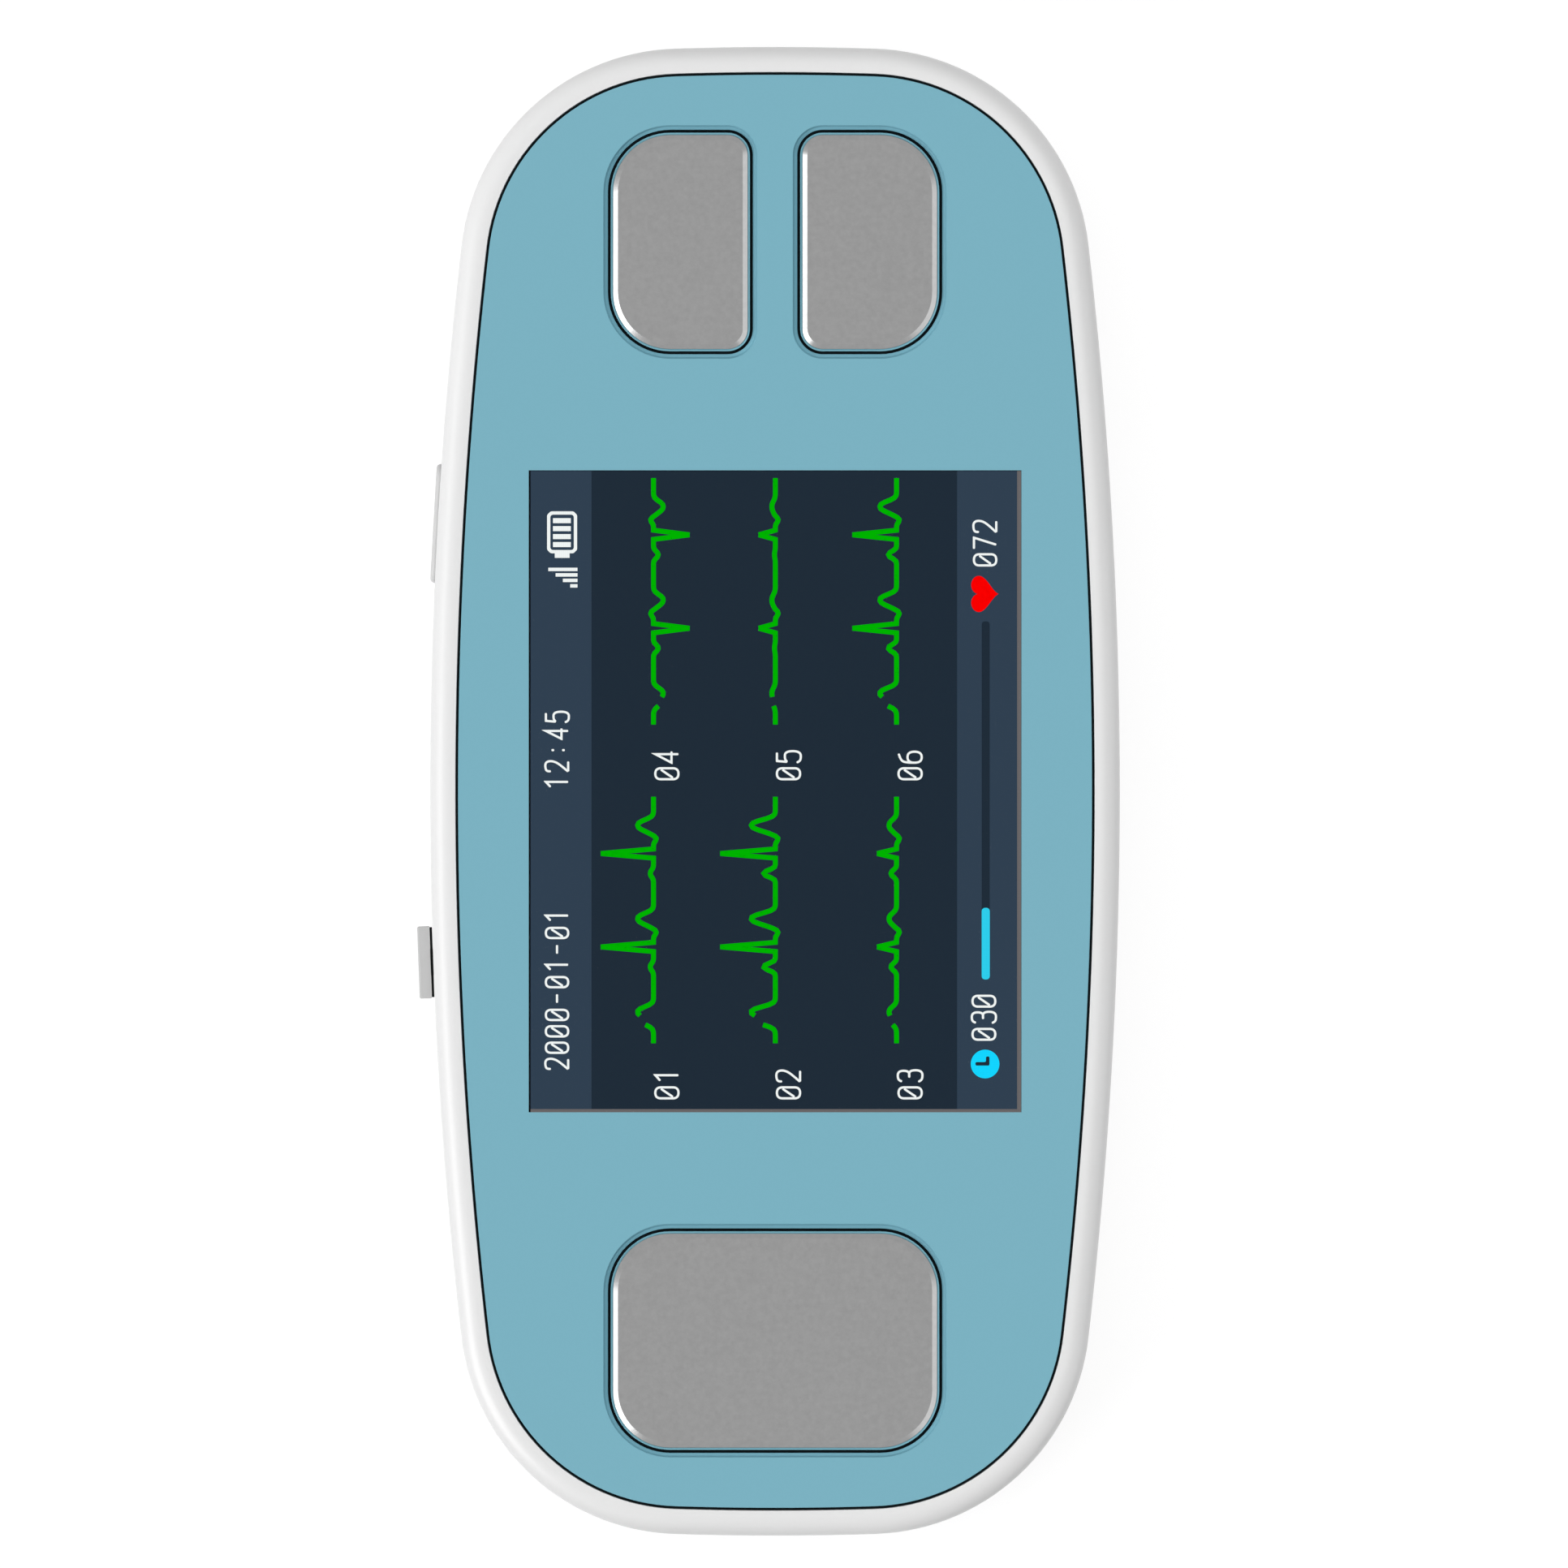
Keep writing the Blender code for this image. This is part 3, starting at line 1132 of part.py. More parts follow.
def make_power_knob():
    """The sliding power knob: a cap, a neck in its slot and a flange inside, with a dust shield."""
    back = -CASE_WALL - RETAINER_GAP
    flange_back = back - KNOB_FLANGE_THICKNESS
    flange = rectangle(*centred(KNOB_FLANGE_LENGTH, KNOB_FLANGE_HEIGHT))
    neck = rectangle(*centred(KNOB_NECK_LENGTH, KNOB_NECK_HEIGHT))
    cap = centred(KNOB_LENGTH, KNOB_HEIGHT)
    rings = [
        (flange, flange_back),
        (flange, back),
        (neck, back),
        (neck, KNOB_WALL_GAP),
        (rectangle(*cap), KNOB_WALL_GAP),
        (rectangle(*cap), KNOB_PROUD - KNOB_EDGE),
        (rectangle(*cap, KNOB_EDGE), KNOB_PROUD),
    ]
    knob = add_piece("power_knob", loft(rings, turn=ALONG_X), "grey_knob_plastic")
    seat_on_left_side(knob, KNOB_Y)

    shield = rectangle(*cap, SHIELD_INSET)
    opening = rectangle(*centred(KNOB_NECK_LENGTH, KNOB_NECK_HEIGHT), -SHIELD_NECK_GAP)
    near, far = SHIELD_FACE_GAP, KNOB_WALL_GAP - SHIELD_FACE_GAP
    rings = [(shield, near), (shield, far), (opening, far), (opening, near)]
    shield_ring = loft(rings, closed=True, turn=ALONG_X)
    seat_on_left_side(add_piece("power_knob_shield", shield_ring, "black_insulation"), KNOB_Y)

    depth, length, height = LEVER_SIZE
    room = SOCKET_CLEARANCE
    front = flange_back + KNOB_POCKET_DEPTH - room
    low = (front - depth, -length / 2, -LEVER_DROP - height / 2)
    high = (front, length / 2, -LEVER_DROP + height / 2)
    seat_on_left_side(add_piece("slide_switch_lever", block(low, high), "black_insulation"), KNOB_Y)
    pocket_low = (flange_back - OVERRUN, low[1] - room, low[2] - room)
    pocket = block(pocket_low, (high[0] + room, high[1] + room, high[2] + room))
    tool = add_tool("lever_pocket", pocket)
    seat_on_left_side(tool, KNOB_Y)
    apply_tool(knob, tool)

    depth, length, height = SLIDE_SWITCH_SIZE
    face = flange_back - SLIDE_SWITCH_GAP
    middle = KNOB_TRAVEL / 2
    bottom = BOARD_TOP_Z - CONTROL_Z
    body = block((face - depth, middle - length / 2, bottom), (face, middle + length / 2, bottom + height))
    switch = add_piece("slide_switch", body, "sheet_steel")
    seat_on_left_side(switch, KNOB_Y)
    slot_low = (low[0] - room, low[1] - room, low[2] - room)
    slot = block(slot_low, (face + OVERRUN, high[1] + KNOB_TRAVEL + room, high[2] + room))
    tool = add_tool("lever_slot", slot)
    seat_on_left_side(tool, KNOB_Y)
    apply_tool(switch, tool)


def make_battery():
    """The pouch cell on its pad, with its guard board, leads, plug and socket."""
    corners = centred(CELL_WIDTH, CELL_LENGTH, (0, CELL_CENTRE_Y))
    cell_top = CELL_Z + CELL_THICKNESS
    rings = [
        (rounded(corners, CELL_CORNER, CELL_CORNER, CELL_EDGE), CELL_Z),
        (rounded(corners, CELL_CORNER, CELL_CORNER), CELL_Z + CELL_EDGE),
        (rounded(corners, CELL_CORNER, CELL_CORNER), cell_top - CELL_EDGE),
        (rounded(corners, CELL_CORNER, CELL_CORNER, CELL_EDGE), cell_top),
    ]
    add_piece("battery_cell", loft(rings), "cell_foil")
    pad = rectangle(*corners, CELL_PAD_MARGIN)
    add_piece("battery_pad", loft([(pad, FLOOR_Z), (pad, CELL_Z)]), "white_tape")

    width, length, height = GUARD_BOARD_SIZE
    guard_y = CELL_CENTRE_Y + CELL_LENGTH / 2 + GUARD_BOARD_GAP
    guard_z = CELL_Z + CELL_THICKNESS / 2
    guard_high = (width / 2, guard_y + length, guard_z + height / 2)
    guard = block((-width / 2, guard_y, guard_z - height / 2), guard_high)
    add_piece("battery_guard_board", guard, "green_laminate")

    wire_start = guard_y + length + WIRE_GAP
    plug_width, plug_length, plug_height = PLUG_SIZE
    plug_y = wire_start + WIRE_RUN + WIRE_GAP
    plug_z = BOARD_Z - BATTERY_SOCKET_SIZE[2] / 2
    plug_low = (PLUG_X - plug_width / 2, plug_y, plug_z - plug_height / 2)
    plug_high = (PLUG_X + plug_width / 2, plug_y + plug_length, plug_z + plug_height / 2)
    add_piece("battery_plug", block(plug_low, plug_high), "beige_nylon")
    for side, finish in ((-1, "black_insulation"), (1, "red_insulation")):
        name = f"battery_wire_{finish.split('_')[0]}"
        x = PLUG_X + side * WIRE_PITCH / 2
        start = (x - WIRE_SHIFT, wire_start, guard_z)
        add_wire(name, start, (x, wire_start + WIRE_RUN, plug_z), finish)

    socket_width, socket_length, socket_height = BATTERY_SOCKET_SIZE
    socket_y = plug_y + plug_length
    low = (PLUG_X - socket_width / 2, socket_y, BOARD_Z - socket_height)
    high = (PLUG_X + socket_width / 2, socket_y + socket_length, BOARD_Z)
    add_piece("battery_socket", block(low, high), "beige_nylon")


def add_wire(name, start, end, finish):
    """One lead of the battery, easing from its start to its end in a smooth rise."""
    curve = bpy.data.curves.new(name, "CURVE")
    curve.dimensions = "3D"
    curve.bevel_depth = WIRE_RADIUS
    curve.bevel_resolution = 2
    curve.use_fill_caps = True
    spline = curve.splines.new("POLY")
    spline.points.add(WIRE_POINTS - 1)
    start, end = Vector(start), Vector(end)
    for index, point in enumerate(spline.points):
        share = index / (WIRE_POINTS - 1)
        ease = share * share * (3 - 2 * share)
        across = start.lerp(end, ease)
        along = start.lerp(end, share)
        point.co = (across.x, along.y, across.z, 1)
    curve.materials.append(material(name, finish))
    PARTS.objects.link(bpy.data.objects.new(name, curve))


clear_scene()
PARTS = collection("portable_ecg_monitor")
TOOLS = collection("cutters")
STUD_HOLES = stud_holes()
make_rear_shell()
make_front_shell()
make_front_panel()
make_panel_gasket()
make_electrodes()
make_rear_electrode()
make_display()
make_main_board()
make_board_parts()
make_usb_socket()
make_side_button()
make_power_knob()
make_battery()
make_screws()
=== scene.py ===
"""Looks of a handheld heart trace monitor: fine shapes, finishes, the lit display and a studio.

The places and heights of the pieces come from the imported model. Lengths are in metres, and MM turns
millimetres to metres. The display's graphics are laid out in its own pixels, and read from the
bottom end up.
"""

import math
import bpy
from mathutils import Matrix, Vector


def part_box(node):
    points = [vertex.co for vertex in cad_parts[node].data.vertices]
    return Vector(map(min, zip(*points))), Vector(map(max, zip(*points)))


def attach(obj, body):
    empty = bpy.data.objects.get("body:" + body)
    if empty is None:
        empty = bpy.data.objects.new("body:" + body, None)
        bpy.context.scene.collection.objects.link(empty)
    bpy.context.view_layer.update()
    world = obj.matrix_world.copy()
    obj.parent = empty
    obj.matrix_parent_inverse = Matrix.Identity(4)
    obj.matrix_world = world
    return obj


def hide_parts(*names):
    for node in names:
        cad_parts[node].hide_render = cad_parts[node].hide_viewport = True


bl_info = {
    "name": "Portable ECG monitor",
    "version": (1, 0, 0),
    "blender": (4, 5, 0),
    "location": "View3D > Sidebar > ECG monitor",
    "description": "Builds the visible pieces, finishes and studio of a handheld heart trace monitor",
    "category": "Add Mesh",
}

import bmesh
import bpy
from bpy.props import FloatProperty, FloatVectorProperty, PointerProperty
from mathutils import Matrix, Vector

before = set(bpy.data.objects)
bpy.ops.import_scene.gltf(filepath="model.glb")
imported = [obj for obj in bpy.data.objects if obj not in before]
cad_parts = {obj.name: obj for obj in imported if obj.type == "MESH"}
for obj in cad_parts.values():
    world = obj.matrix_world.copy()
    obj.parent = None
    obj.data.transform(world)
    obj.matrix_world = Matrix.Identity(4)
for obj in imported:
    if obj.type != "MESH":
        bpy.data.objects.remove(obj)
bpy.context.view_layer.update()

MM = 0.001
MICRON = 0.000001

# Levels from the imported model, from the back to the face
REAR_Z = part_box("rear_shell")[0].z
FLOOR_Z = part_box("battery_pad")[0].z
SEAM_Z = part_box("front_shell")[0].z
BOARD_Z, BOARD_TOP_Z = (corner.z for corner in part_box("main_board"))
TONGUE_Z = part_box("rear_shell")[1].z
DECK_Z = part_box("display_bracket")[1].z
GASKET_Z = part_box("panel_gasket")[0].z
PANEL_Z, FACE_Z = (corner.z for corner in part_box("front_panel"))
CARRIER_TOP_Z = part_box("electrode_carrier_lower")[1].z
PLATE_TOP_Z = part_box("electrode_lower")[1].z
GLASS_TOP_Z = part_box("lcd_glass")[1].z
LENS_Z, LENS_TOP_Z = (corner.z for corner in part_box("display_lens"))
HALF_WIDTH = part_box("rear_shell")[1].x
HALF_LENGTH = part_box("rear_shell")[1].y
PANEL_INSET = HALF_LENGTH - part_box("front_panel")[1].y

# How finely each curve is divided
SIDE_STEPS = 22
CORNER_STEPS = 30
END_STEPS = 10
ROUND_STEPS = 12
PAD_STEPS = 16
LIP_STEPS = 3
SMALL_STEPS = 4
ROD_SIDES = 32

SMOOTH_ANGLE = math.radians(30)
STROKE_TURN = math.radians(28)
STROKE_SOFT = 0.4
GLOSS_SPREAD = 0.06
MERGE_DISTANCE = 0.001 * MM
HAIR = 0.0005 * MM

# Turns a shape built upwards so that it points along +X, with its outline in Y and Z
ALONG_X = Matrix(((0, 0, 1, 0), (1, 0, 0, 0), (0, 1, 0, 0), (0, 0, 0, 1)))
UPRIGHT = Matrix.Identity(4)
UPSIDE_DOWN = Matrix.Rotation(math.pi, 4, "X")


def length(name, description, millimetres):
    """A length that a user can change, given in millimetres and kept in metres."""
    return FloatProperty(
        name=name, description=description, default=millimetres * MM, min=0.0, precision=6,
        subtype="DISTANCE", unit="LENGTH",
    )


def linear(hex_colour):
    """An sRGB hex colour as linear red, green, blue and alpha."""
    channels = [int(hex_colour[i:i + 2], 16) / 255 for i in (0, 2, 4)]
    return (*[c / 12.92 if c <= 0.04045 else ((c + 0.055) / 1.055) ** 2.4 for c in channels], 1.0)


def colour(name, description, hex_colour):
    """A colour that a user can change, given as sRGB hex and kept linear."""
    return FloatVectorProperty(
        name=name, description=description, default=linear(hex_colour), size=4, min=0.0, max=1.0,
        subtype="COLOR",
    )


class MonitorSizes(bpy.types.PropertyGroup):
    """Sizes of the case, its inlay, electrodes, controls and display strokes"""

    side_arc: length("Side arc", "Radius of the long arc down each side of the case", 367.0)
    end_arc: length("End arc", "Radius of the arc across each end of the case", 239.5)
    corner: length("Corner", "Radius of the case's round corners", 17.0)
    wall: length("Wall", "Thickness of the case's walls", 1.6)
    skirt: length("Skirt", "Thickness of the front shell's wall at the seam", 0.8)
    rim_width: length("Rim width", "Width of the round white rim, seen from the front", 1.93)
    rim_round: length("Rim round", "Radius of the rim's round outer edge", 1.5)
    rim_lip: length("Rim lip", "Small round at the rim's inner edge", 0.08)
    rear_round: length("Rear round", "Radius of the case's round rear edges", 5.0)
    seam_bevel: length("Seam bevel", "Bevel of each shell at the seam between them", 0.15)
    seam_gap: length("Seam gap", "Clearance round the tongue inside the seam", 0.15)
    groove_width: length("Groove width", "Width of the sloped edge round each opening", 0.35)
    groove_depth: length("Groove depth", "Depth of the sloped edge round each opening", 0.36)
    pad_gap: length("Electrode gap", "Dark gap between the panel and an electrode's carrier", 0.225)
    pad_ring: length("Carrier ring", "Width of the blue ring round each steel plate", 0.17)
    ring_fall: length("Ring fall", "How far the blue ring slopes down towards its plate", 0.08)
    plate_gap: length("Plate gap", "Clearance between a plate and its ring", 0.01)
    plate_bevel: length("Plate bevel", "Width of the bevel round each steel plate", 0.37)
    bevel_height: length("Bevel height", "Height of the bevel round each steel plate", 0.24)
    outer_radius: length("Outer radius", "Radius of an electrode's outer corners", 4.78)
    inner_radius: length("Inner radius", "Radius of the upper electrodes' inner corners", 1.95)
    # The gasket's lips rise into the gaps round the inlay and the electrodes, and their black paints
    # the shade in those gaps
    lip_clearance: length("Lip clearance", "Clearance beside the gasket's lips", 0.04)
    lip_drop: length("Lip drop", "How far the gasket's outer lip stays below the face", 0.15)
    ring_drop: length("Ring drop", "How far the lips round the electrodes stay below it", 0.42)
    button_round: length("Button round", "Round of the push button's outer edge", 0.32)
    knob_round: length("Knob round", "Round of the power knob's outer edges", 0.14)
    trace_stroke: length("Trace stroke", "Width of the display's heart traces", 0.37)
    text_stroke: length("Text stroke", "Width of the display's digits", 0.17)


class MonitorColours(bpy.types.PropertyGroup):
    """Colours of the finishes in plain light, some with painted light or shade in them as their
    comments say
    """

    white_abs: colour("White ABS", "Case shells", "E3E3E3")
    # The button's grey is painted shade, for the shade along the wall beside it
    button_abs: colour("Button ABS", "Push button", "CDCDCD")
    blue_abs: colour("Blue ABS", "Front panel and electrode carriers", "77AEBE")
    # This black is partly painted shade: in the gaps round the inlay and electrodes, and at the
    # window's edges
    black_silicone: colour("Black silicone", "Panel gasket", "070F12")
    blasted_steel: colour("Blasted steel", "Electrodes", "979797")
    grey_abs: colour("Grey ABS", "Power knob", "BEBEBE")
    # The knob's shield wears this black as painted shade for the gap under its cap; the socket's tongue
    # is black itself
    black_acetal: colour("Black acetal", "Root of the power knob, tongue of the socket", "0A0B0C")
    clear_acrylic: colour("Clear acrylic", "Display window", "F4F8FA")
    tin_plate: colour("Tin plate", "Shell of the charging socket", "B4B6B8")
    gold_plate: colour("Gold plate", "Contact pins and socket contacts", "D9B25F")
    zinc_steel: colour("Zinc steel", "Screws", "B9BBBE")
    screen_bar: colour("Status bars", "Lighter bars at the top and bottom of the display", "324151")
    screen_field: colour("Trace field", "Dark field behind the heart traces", "212D39")
    # The edge strip's glowing colour is painted light: it stands for the lit walls of the display's
    # recess
    screen_edge: colour("Display edge", "Strip of the display's frame beside the image", "6C6767")
    screen_green: colour("Trace green", "Heart traces", "00B400")
    screen_white: colour("Text white", "Digits and status signs", "F6F7F4")
    screen_red: colour("Heart red", "Heart sign", "FF0000")
    screen_cyan: colour("Clock cyan", "Clock sign", "14D7FF")
    screen_blue: colour("Progress blue", "Elapsed part of the progress bar", "2FD0EC")


def sizes():
    """The sizes in use."""
    return bpy.context.scene.monitor_sizes


# Shapes


def case_arcs():
    """Centre, turn and steps of each arc in a quarter of the case's outline, from +X to +Y."""
    size = sizes()
    side = Vector((HALF_WIDTH - size.side_arc, 0, 0))
    end = Vector((0, HALF_LENGTH - size.end_arc, 0))
    side_reach, end_reach = size.side_arc - size.corner, size.end_arc - size.corner
    between = end - side
    along = (side_reach ** 2 - end_reach ** 2 + between.length_squared) / (2 * between.length)
    across = math.sqrt(side_reach ** 2 - along ** 2)
    direction = between.normalized()
    corner = side + along * direction + across * Vector((-direction.y, direction.x, 0))
    side_turn = math.atan2(corner.y - side.y, corner.x - side.x)
    corner_end = math.atan2(corner.y - end.y, corner.x - end.x)
    return [
        (side, side_turn, SIDE_STEPS),
        (corner, corner_end - side_turn, CORNER_STEPS),
        (end, math.pi / 2 - corner_end, END_STEPS),
    ]


def sweep_case(section):
    """A closed shape: a section of insets and heights, swept round the case and capped."""
    bm = bmesh.new()
    verts = [bm.verts.new((HALF_WIDTH - inset, 0, height)) for inset, height in section]
    geom = verts + [bm.edges.new(pair) for pair in zip(verts, verts[1:])]
    for centre, turn, steps in case_arcs():
        spun = bmesh.ops.spin(bm, geom=geom, cent=centre, axis=(0, 0, 1), angle=turn, steps=steps)
        geom = spun["geom_last"]
    for axis in "XY":
        everything = bm.verts[:] + bm.edges[:] + bm.faces[:]
        bmesh.ops.mirror(bm, geom=everything, matrix=UPRIGHT, merge_dist=MERGE_DISTANCE, axis=axis)
    rims = [edge for edge in bm.edges if edge.is_boundary]
    bmesh.ops.holes_fill(bm, edges=rims, sides=0)
    bmesh.ops.recalc_face_normals(bm, faces=bm.faces[:])
    return bm


def quarter_round(start, end, low, high, steps=ROUND_STEPS):
    """Insets and heights up a quarter ellipse: steep at its outer edge, level at its top."""
    turns = [math.pi / 2 * step / steps for step in range(steps + 1)]
    return [
        (end + (start - end) * math.cos(turn), low + (high - low) * math.sin(turn)) for turn in turns
    ]


def add_outline(bm, corners, radii, inset, height, steps):
    """Adds one outline: a rectangle with round corners, moved in by the inset. Returns its face."""
    (left, bottom), (right, top) = corners
    left, bottom, right, top = left + inset, bottom + inset, right - inset, top - inset
    places = ((left, bottom), (left, top), (right, top), (right, bottom))
    verts = [bm.verts.new((x, y, height)) for x, y in places]
    before = set(bm.faces)
    bm.faces.new(verts)
    for pair, radius in zip((verts[:2], verts[2:]), radii):
        if radius > inset:
            bmesh.ops.bevel(
                bm, geom=pair, offset=radius - inset, offset_type="OFFSET", segments=steps,
                profile=0.5, affect="VERTICES", material=-1,
            )
    return (set(bm.faces) - before).pop()


def stack(corners, radii, levels, steps=PAD_STEPS, turn=UPRIGHT):
    """A closed shape skinned through outlines at pairs of inset and height.

    The radii are those of the left and the right corners, or one for all. Two outlines at one
    height can't be bridged, so each stands a hair above its own height.
    """
    if not isinstance(radii, tuple):
        radii = (radii, radii)
    bm = bmesh.new()
    below = None
    for index, (inset, height) in enumerate(levels):
        face = add_outline(bm, corners, radii, inset, height + index * HAIR, steps)
        edges = list(face.edges)
        if 0 < index < len(levels) - 1:
            bmesh.ops.delete(bm, geom=[face], context="FACES_ONLY")
        if below:
            bmesh.ops.bridge_loops(bm, edges=below + edges)
        below = edges
    bmesh.ops.recalc_face_normals(bm, faces=bm.faces[:])
    bmesh.ops.transform(bm, matrix=turn, verts=bm.verts[:])
    return bm


def block(corners, low, high, radius=0, turn=UPRIGHT):
    """A straight block between two heights."""
    return stack(corners, radius, [(0, low), (0, high)], SMALL_STEPS, turn)


def centred(width, height, centre=(0, 0), spread=0.0):
    """Low and high corners of a rectangle about a centre, moved out by the spread."""
    x, y = width / 2 + spread, height / 2 + spread
    return (centre[0] - x, centre[1] - y), (centre[0] + x, centre[1] + y)


def rods(places, radius, low, high):
    """Upright cylinders at several places."""
    bm = bmesh.new()
    for place in places:
        middle = Matrix.Translation((place[0], place[1], (low + high) / 2))
        bmesh.ops.create_cone(
            bm, cap_ends=True, segments=ROD_SIDES, radius1=radius, radius2=radius,
            depth=high - low, matrix=middle,
        )
    return bm


def lathe(profile, places, foot=0, turn=UPRIGHT):
    """Turned shapes at several places, from radii and heights down their outer side."""
    bm = bmesh.new()
    for place in places:
        verts = [bm.verts.new((radius, 0, height)) for radius, height in profile]
        edges = [bm.edges.new(pair) for pair in zip(verts, verts[1:])]
        made = set(bm.verts) - set(verts)
        bmesh.ops.spin(
            bm, geom=verts + edges, cent=(0, 0, 0), axis=(0, 0, 1), angle=2 * math.pi,
            steps=ROD_SIDES, use_merge=True,
        )
        added = [vert for vert in bm.verts if vert not in made]
        bmesh.ops.transform(bm, matrix=Matrix.Translation((*place, foot)) @ turn, verts=added)
    bmesh.ops.remove_doubles(bm, verts=bm.verts[:], dist=MERGE_DISTANCE)
    bmesh.ops.recalc_face_normals(bm, faces=bm.faces[:])
    return bm


def gather(*shapes):
    """Several shapes as separate bodies of one mesh."""
    whole = bmesh.new()
    for shape in shapes:
        mesh = bpy.data.meshes.new("gathered")
        shape.to_mesh(mesh)
        shape.free()
        whole.from_mesh(mesh)
        bpy.data.meshes.remove(mesh)
    return whole


def add_object(name, data):
    """An object of the scene, for data of any kind."""
    made = bpy.data.objects.new(name, data)
    bpy.context.scene.collection.objects.link(made)
    return made


def hold(bm, name="held"):
    """An object that holds a shape."""
    mesh = bpy.data.meshes.new(name)
    bm.to_mesh(mesh)
    bm.free()
    return add_object(name, mesh)


def release(holder, *others):
    """The shape that an object's modifiers make, once the objects that held it are gone."""
    result = bmesh.new()
    result.from_object(holder, bpy.context.evaluated_depsgraph_get())
    for item in (holder, *others):
        mesh = item.data
        bpy.data.objects.remove(item)
        bpy.data.meshes.remove(mesh)
    return result


def combine(bm, tools, operation):
    """Cuts closed shapes from another, or joins them to it, one after the other."""
    for tool in tools:
        body, other = hold(bm), hold(tool)
        modifier = body.modifiers.new("combine", "BOOLEAN")
        modifier.object = other
        modifier.operation = operation
        modifier.solver = "EXACT"
        bm = release(body, other)
    return bm


def cut(bm, *tools):
    """A closed shape without others."""
    return combine(bm, tools, "DIFFERENCE")


def join(bm, *tools):
    """A closed shape with others."""
    return combine(bm, tools, "UNION")


def footprint(name, spread=0.0):
    """Corners of a CAD node's box, seen from the front and moved out by the spread."""
    low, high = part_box(name)
    return (low.x - spread, low.y - spread), (high.x + spread, high.y + spread)


def place_of(name):
    """The middle of a CAD node's box, seen from the front."""
    low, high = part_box(name)
    return ((low.x + high.x) / 2, (low.y + high.y) / 2)


def places_of(name, endings):
    """The middles of several like CAD nodes."""
    return [place_of(f"{name}_{ending}") for ending in endings]


# Places of the side controls along the case, from its middle
CONTROL_PLACES = {"side_button": 20.55 * MM, "power_knob": -13.1 * MM}


def left_side(name):
    """Turns a shape so that its +X points out of the left wall at a control's place."""
    low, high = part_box(name)
    y = CONTROL_PLACES[name]
    turn = math.asin(y / sizes().side_arc)
    x = HALF_WIDTH - sizes().side_arc * (1 - math.cos(turn))
    place = Matrix.Translation((-x, y, (low.z + high.z) / 2))
    return place @ Matrix.Rotation(math.pi - turn, 4, "Z")


# Finishes


def node(tree, kind, inputs=(), **settings):
    """Adds a node with its settings. An input given a socket is linked, and any other is set."""
    made = tree.nodes.new(kind)
    for name, value in settings.items():
        setattr(made, name, value)
    for name, value in dict(inputs).items():
        if isinstance(value, bpy.types.NodeSocket):
            tree.links.new(value, made.inputs[name])
        else:
            made.inputs[name].default_value = value
    return made


# For each finish: roughness, metallic value, size of its grain in millimetres, share by which the
# grain shades the colour, and height of the grain in microns. Then, for some, what is set on the
# shader's own sockets, and how far the grain is drawn out along each axis
FINISHES = {
    # Satin ABS, moulded in a vapour-blasted tool: clean white with soft broad highlights
    "white_abs": (0.32, 0.0, 0.35, 0.012, 0.5, {"Specular IOR Level": 0.45}),
    # Satin ABS, a shade greyer than the case: the grey is painted shade, for the shade along the wall
    # beside the button, and lets it stand out softly from the white case
    "button_abs": (0.45, 0.0, 0.35, 0.012, 0.5, {"Specular IOR Level": 0.35}),
    # Matt ABS, moulded with a fine spark texture: flat even blue that hardly mirrors anything
    "blue_abs": (0.55, 0.0, 0.18, 0.018, 1.2, {"Specular IOR Level": 0.3}),
    # Silicone rubber, moulded: near black and dull, so that it reads as a drawn line. Where it fills
    # the gaps round the inlay and the electrodes and edges the display, its black is painted shade
    "black_silicone": (0.8, 0.0, 0.2, 0.1, 1.0, {"Specular IOR Level": 0.1}),
    # Stainless steel, bead blasted: flat grey with a fine sparkle, bright only on its bevels. The
    # grain of real beads is near 0.1 mm, and is drawn a little coarser so that it shows
    "blasted_steel": (0.3, 1.0, 0.4, 0.11, 3.0),
    # Satin ABS, dyed grey: the power knob's plain light grey
    "grey_abs": (0.45, 0.0, 0.3, 0.015, 0.6, {"Specular IOR Level": 0.35}),
    # Acetal, moulded and matt: deep black that mirrors almost nothing. On the knob's shield, the black
    # is painted shade for the gap under the cap
    "black_acetal": (0.6, 0.0, 0.3, 0.05, 0.5, {"Specular IOR Level": 0.1}),
    # Acrylic with an anti-reflection coat: clear, and hardly washed out by the studio's light. The
    # coat is given by an index far below acrylic's own, 1.49, so that it mirrors less
    "clear_acrylic": (0.03, 0.0, 2.0, 0.0, 0.02, {"Transmission Weight": 1.0, "IOR": 1.02}),
    # Tin-plated steel sheet, stamped and folded: bright and slightly streaked along its length
    "tin_plate": (0.3, 1.0, 0.12, 0.05, 0.8, {}, (1, 8, 8)),
    # Gold over nickel, plated on turned brass: warm and bright
    "gold_plate": (0.22, 1.0, 0.15, 0.04, 0.3, {}, (1, 1, 6)),
    # Zinc-plated steel, rolled and plated: cool grey and mildly bright
    "zinc_steel": (0.32, 1.0, 0.2, 0.07, 0.8),
}


def finish(name):
    """A finish or a lit colour, under a label that none of the frame's own materials has."""
    label = f"{name}_look"
    made = bpy.data.materials.get(label)
    if made:
        return made
    base = getattr(bpy.context.scene.monitor_colours, name)
    if name in FINISHES:
        return grained(label, base, *FINISHES[name])
    return lit_pixels(label, base)


def new_material(label, base, sockets):
    """A material with its node tree and its shader, whose own sockets are set."""
    made = bpy.data.materials.new(label)
    made.use_nodes = True
    made.diffuse_color = base
    shader = made.node_tree.nodes["Principled BSDF"]
    for socket, value in sockets.items():
        shader.inputs[socket].default_value = value
    return made, made.node_tree, shader


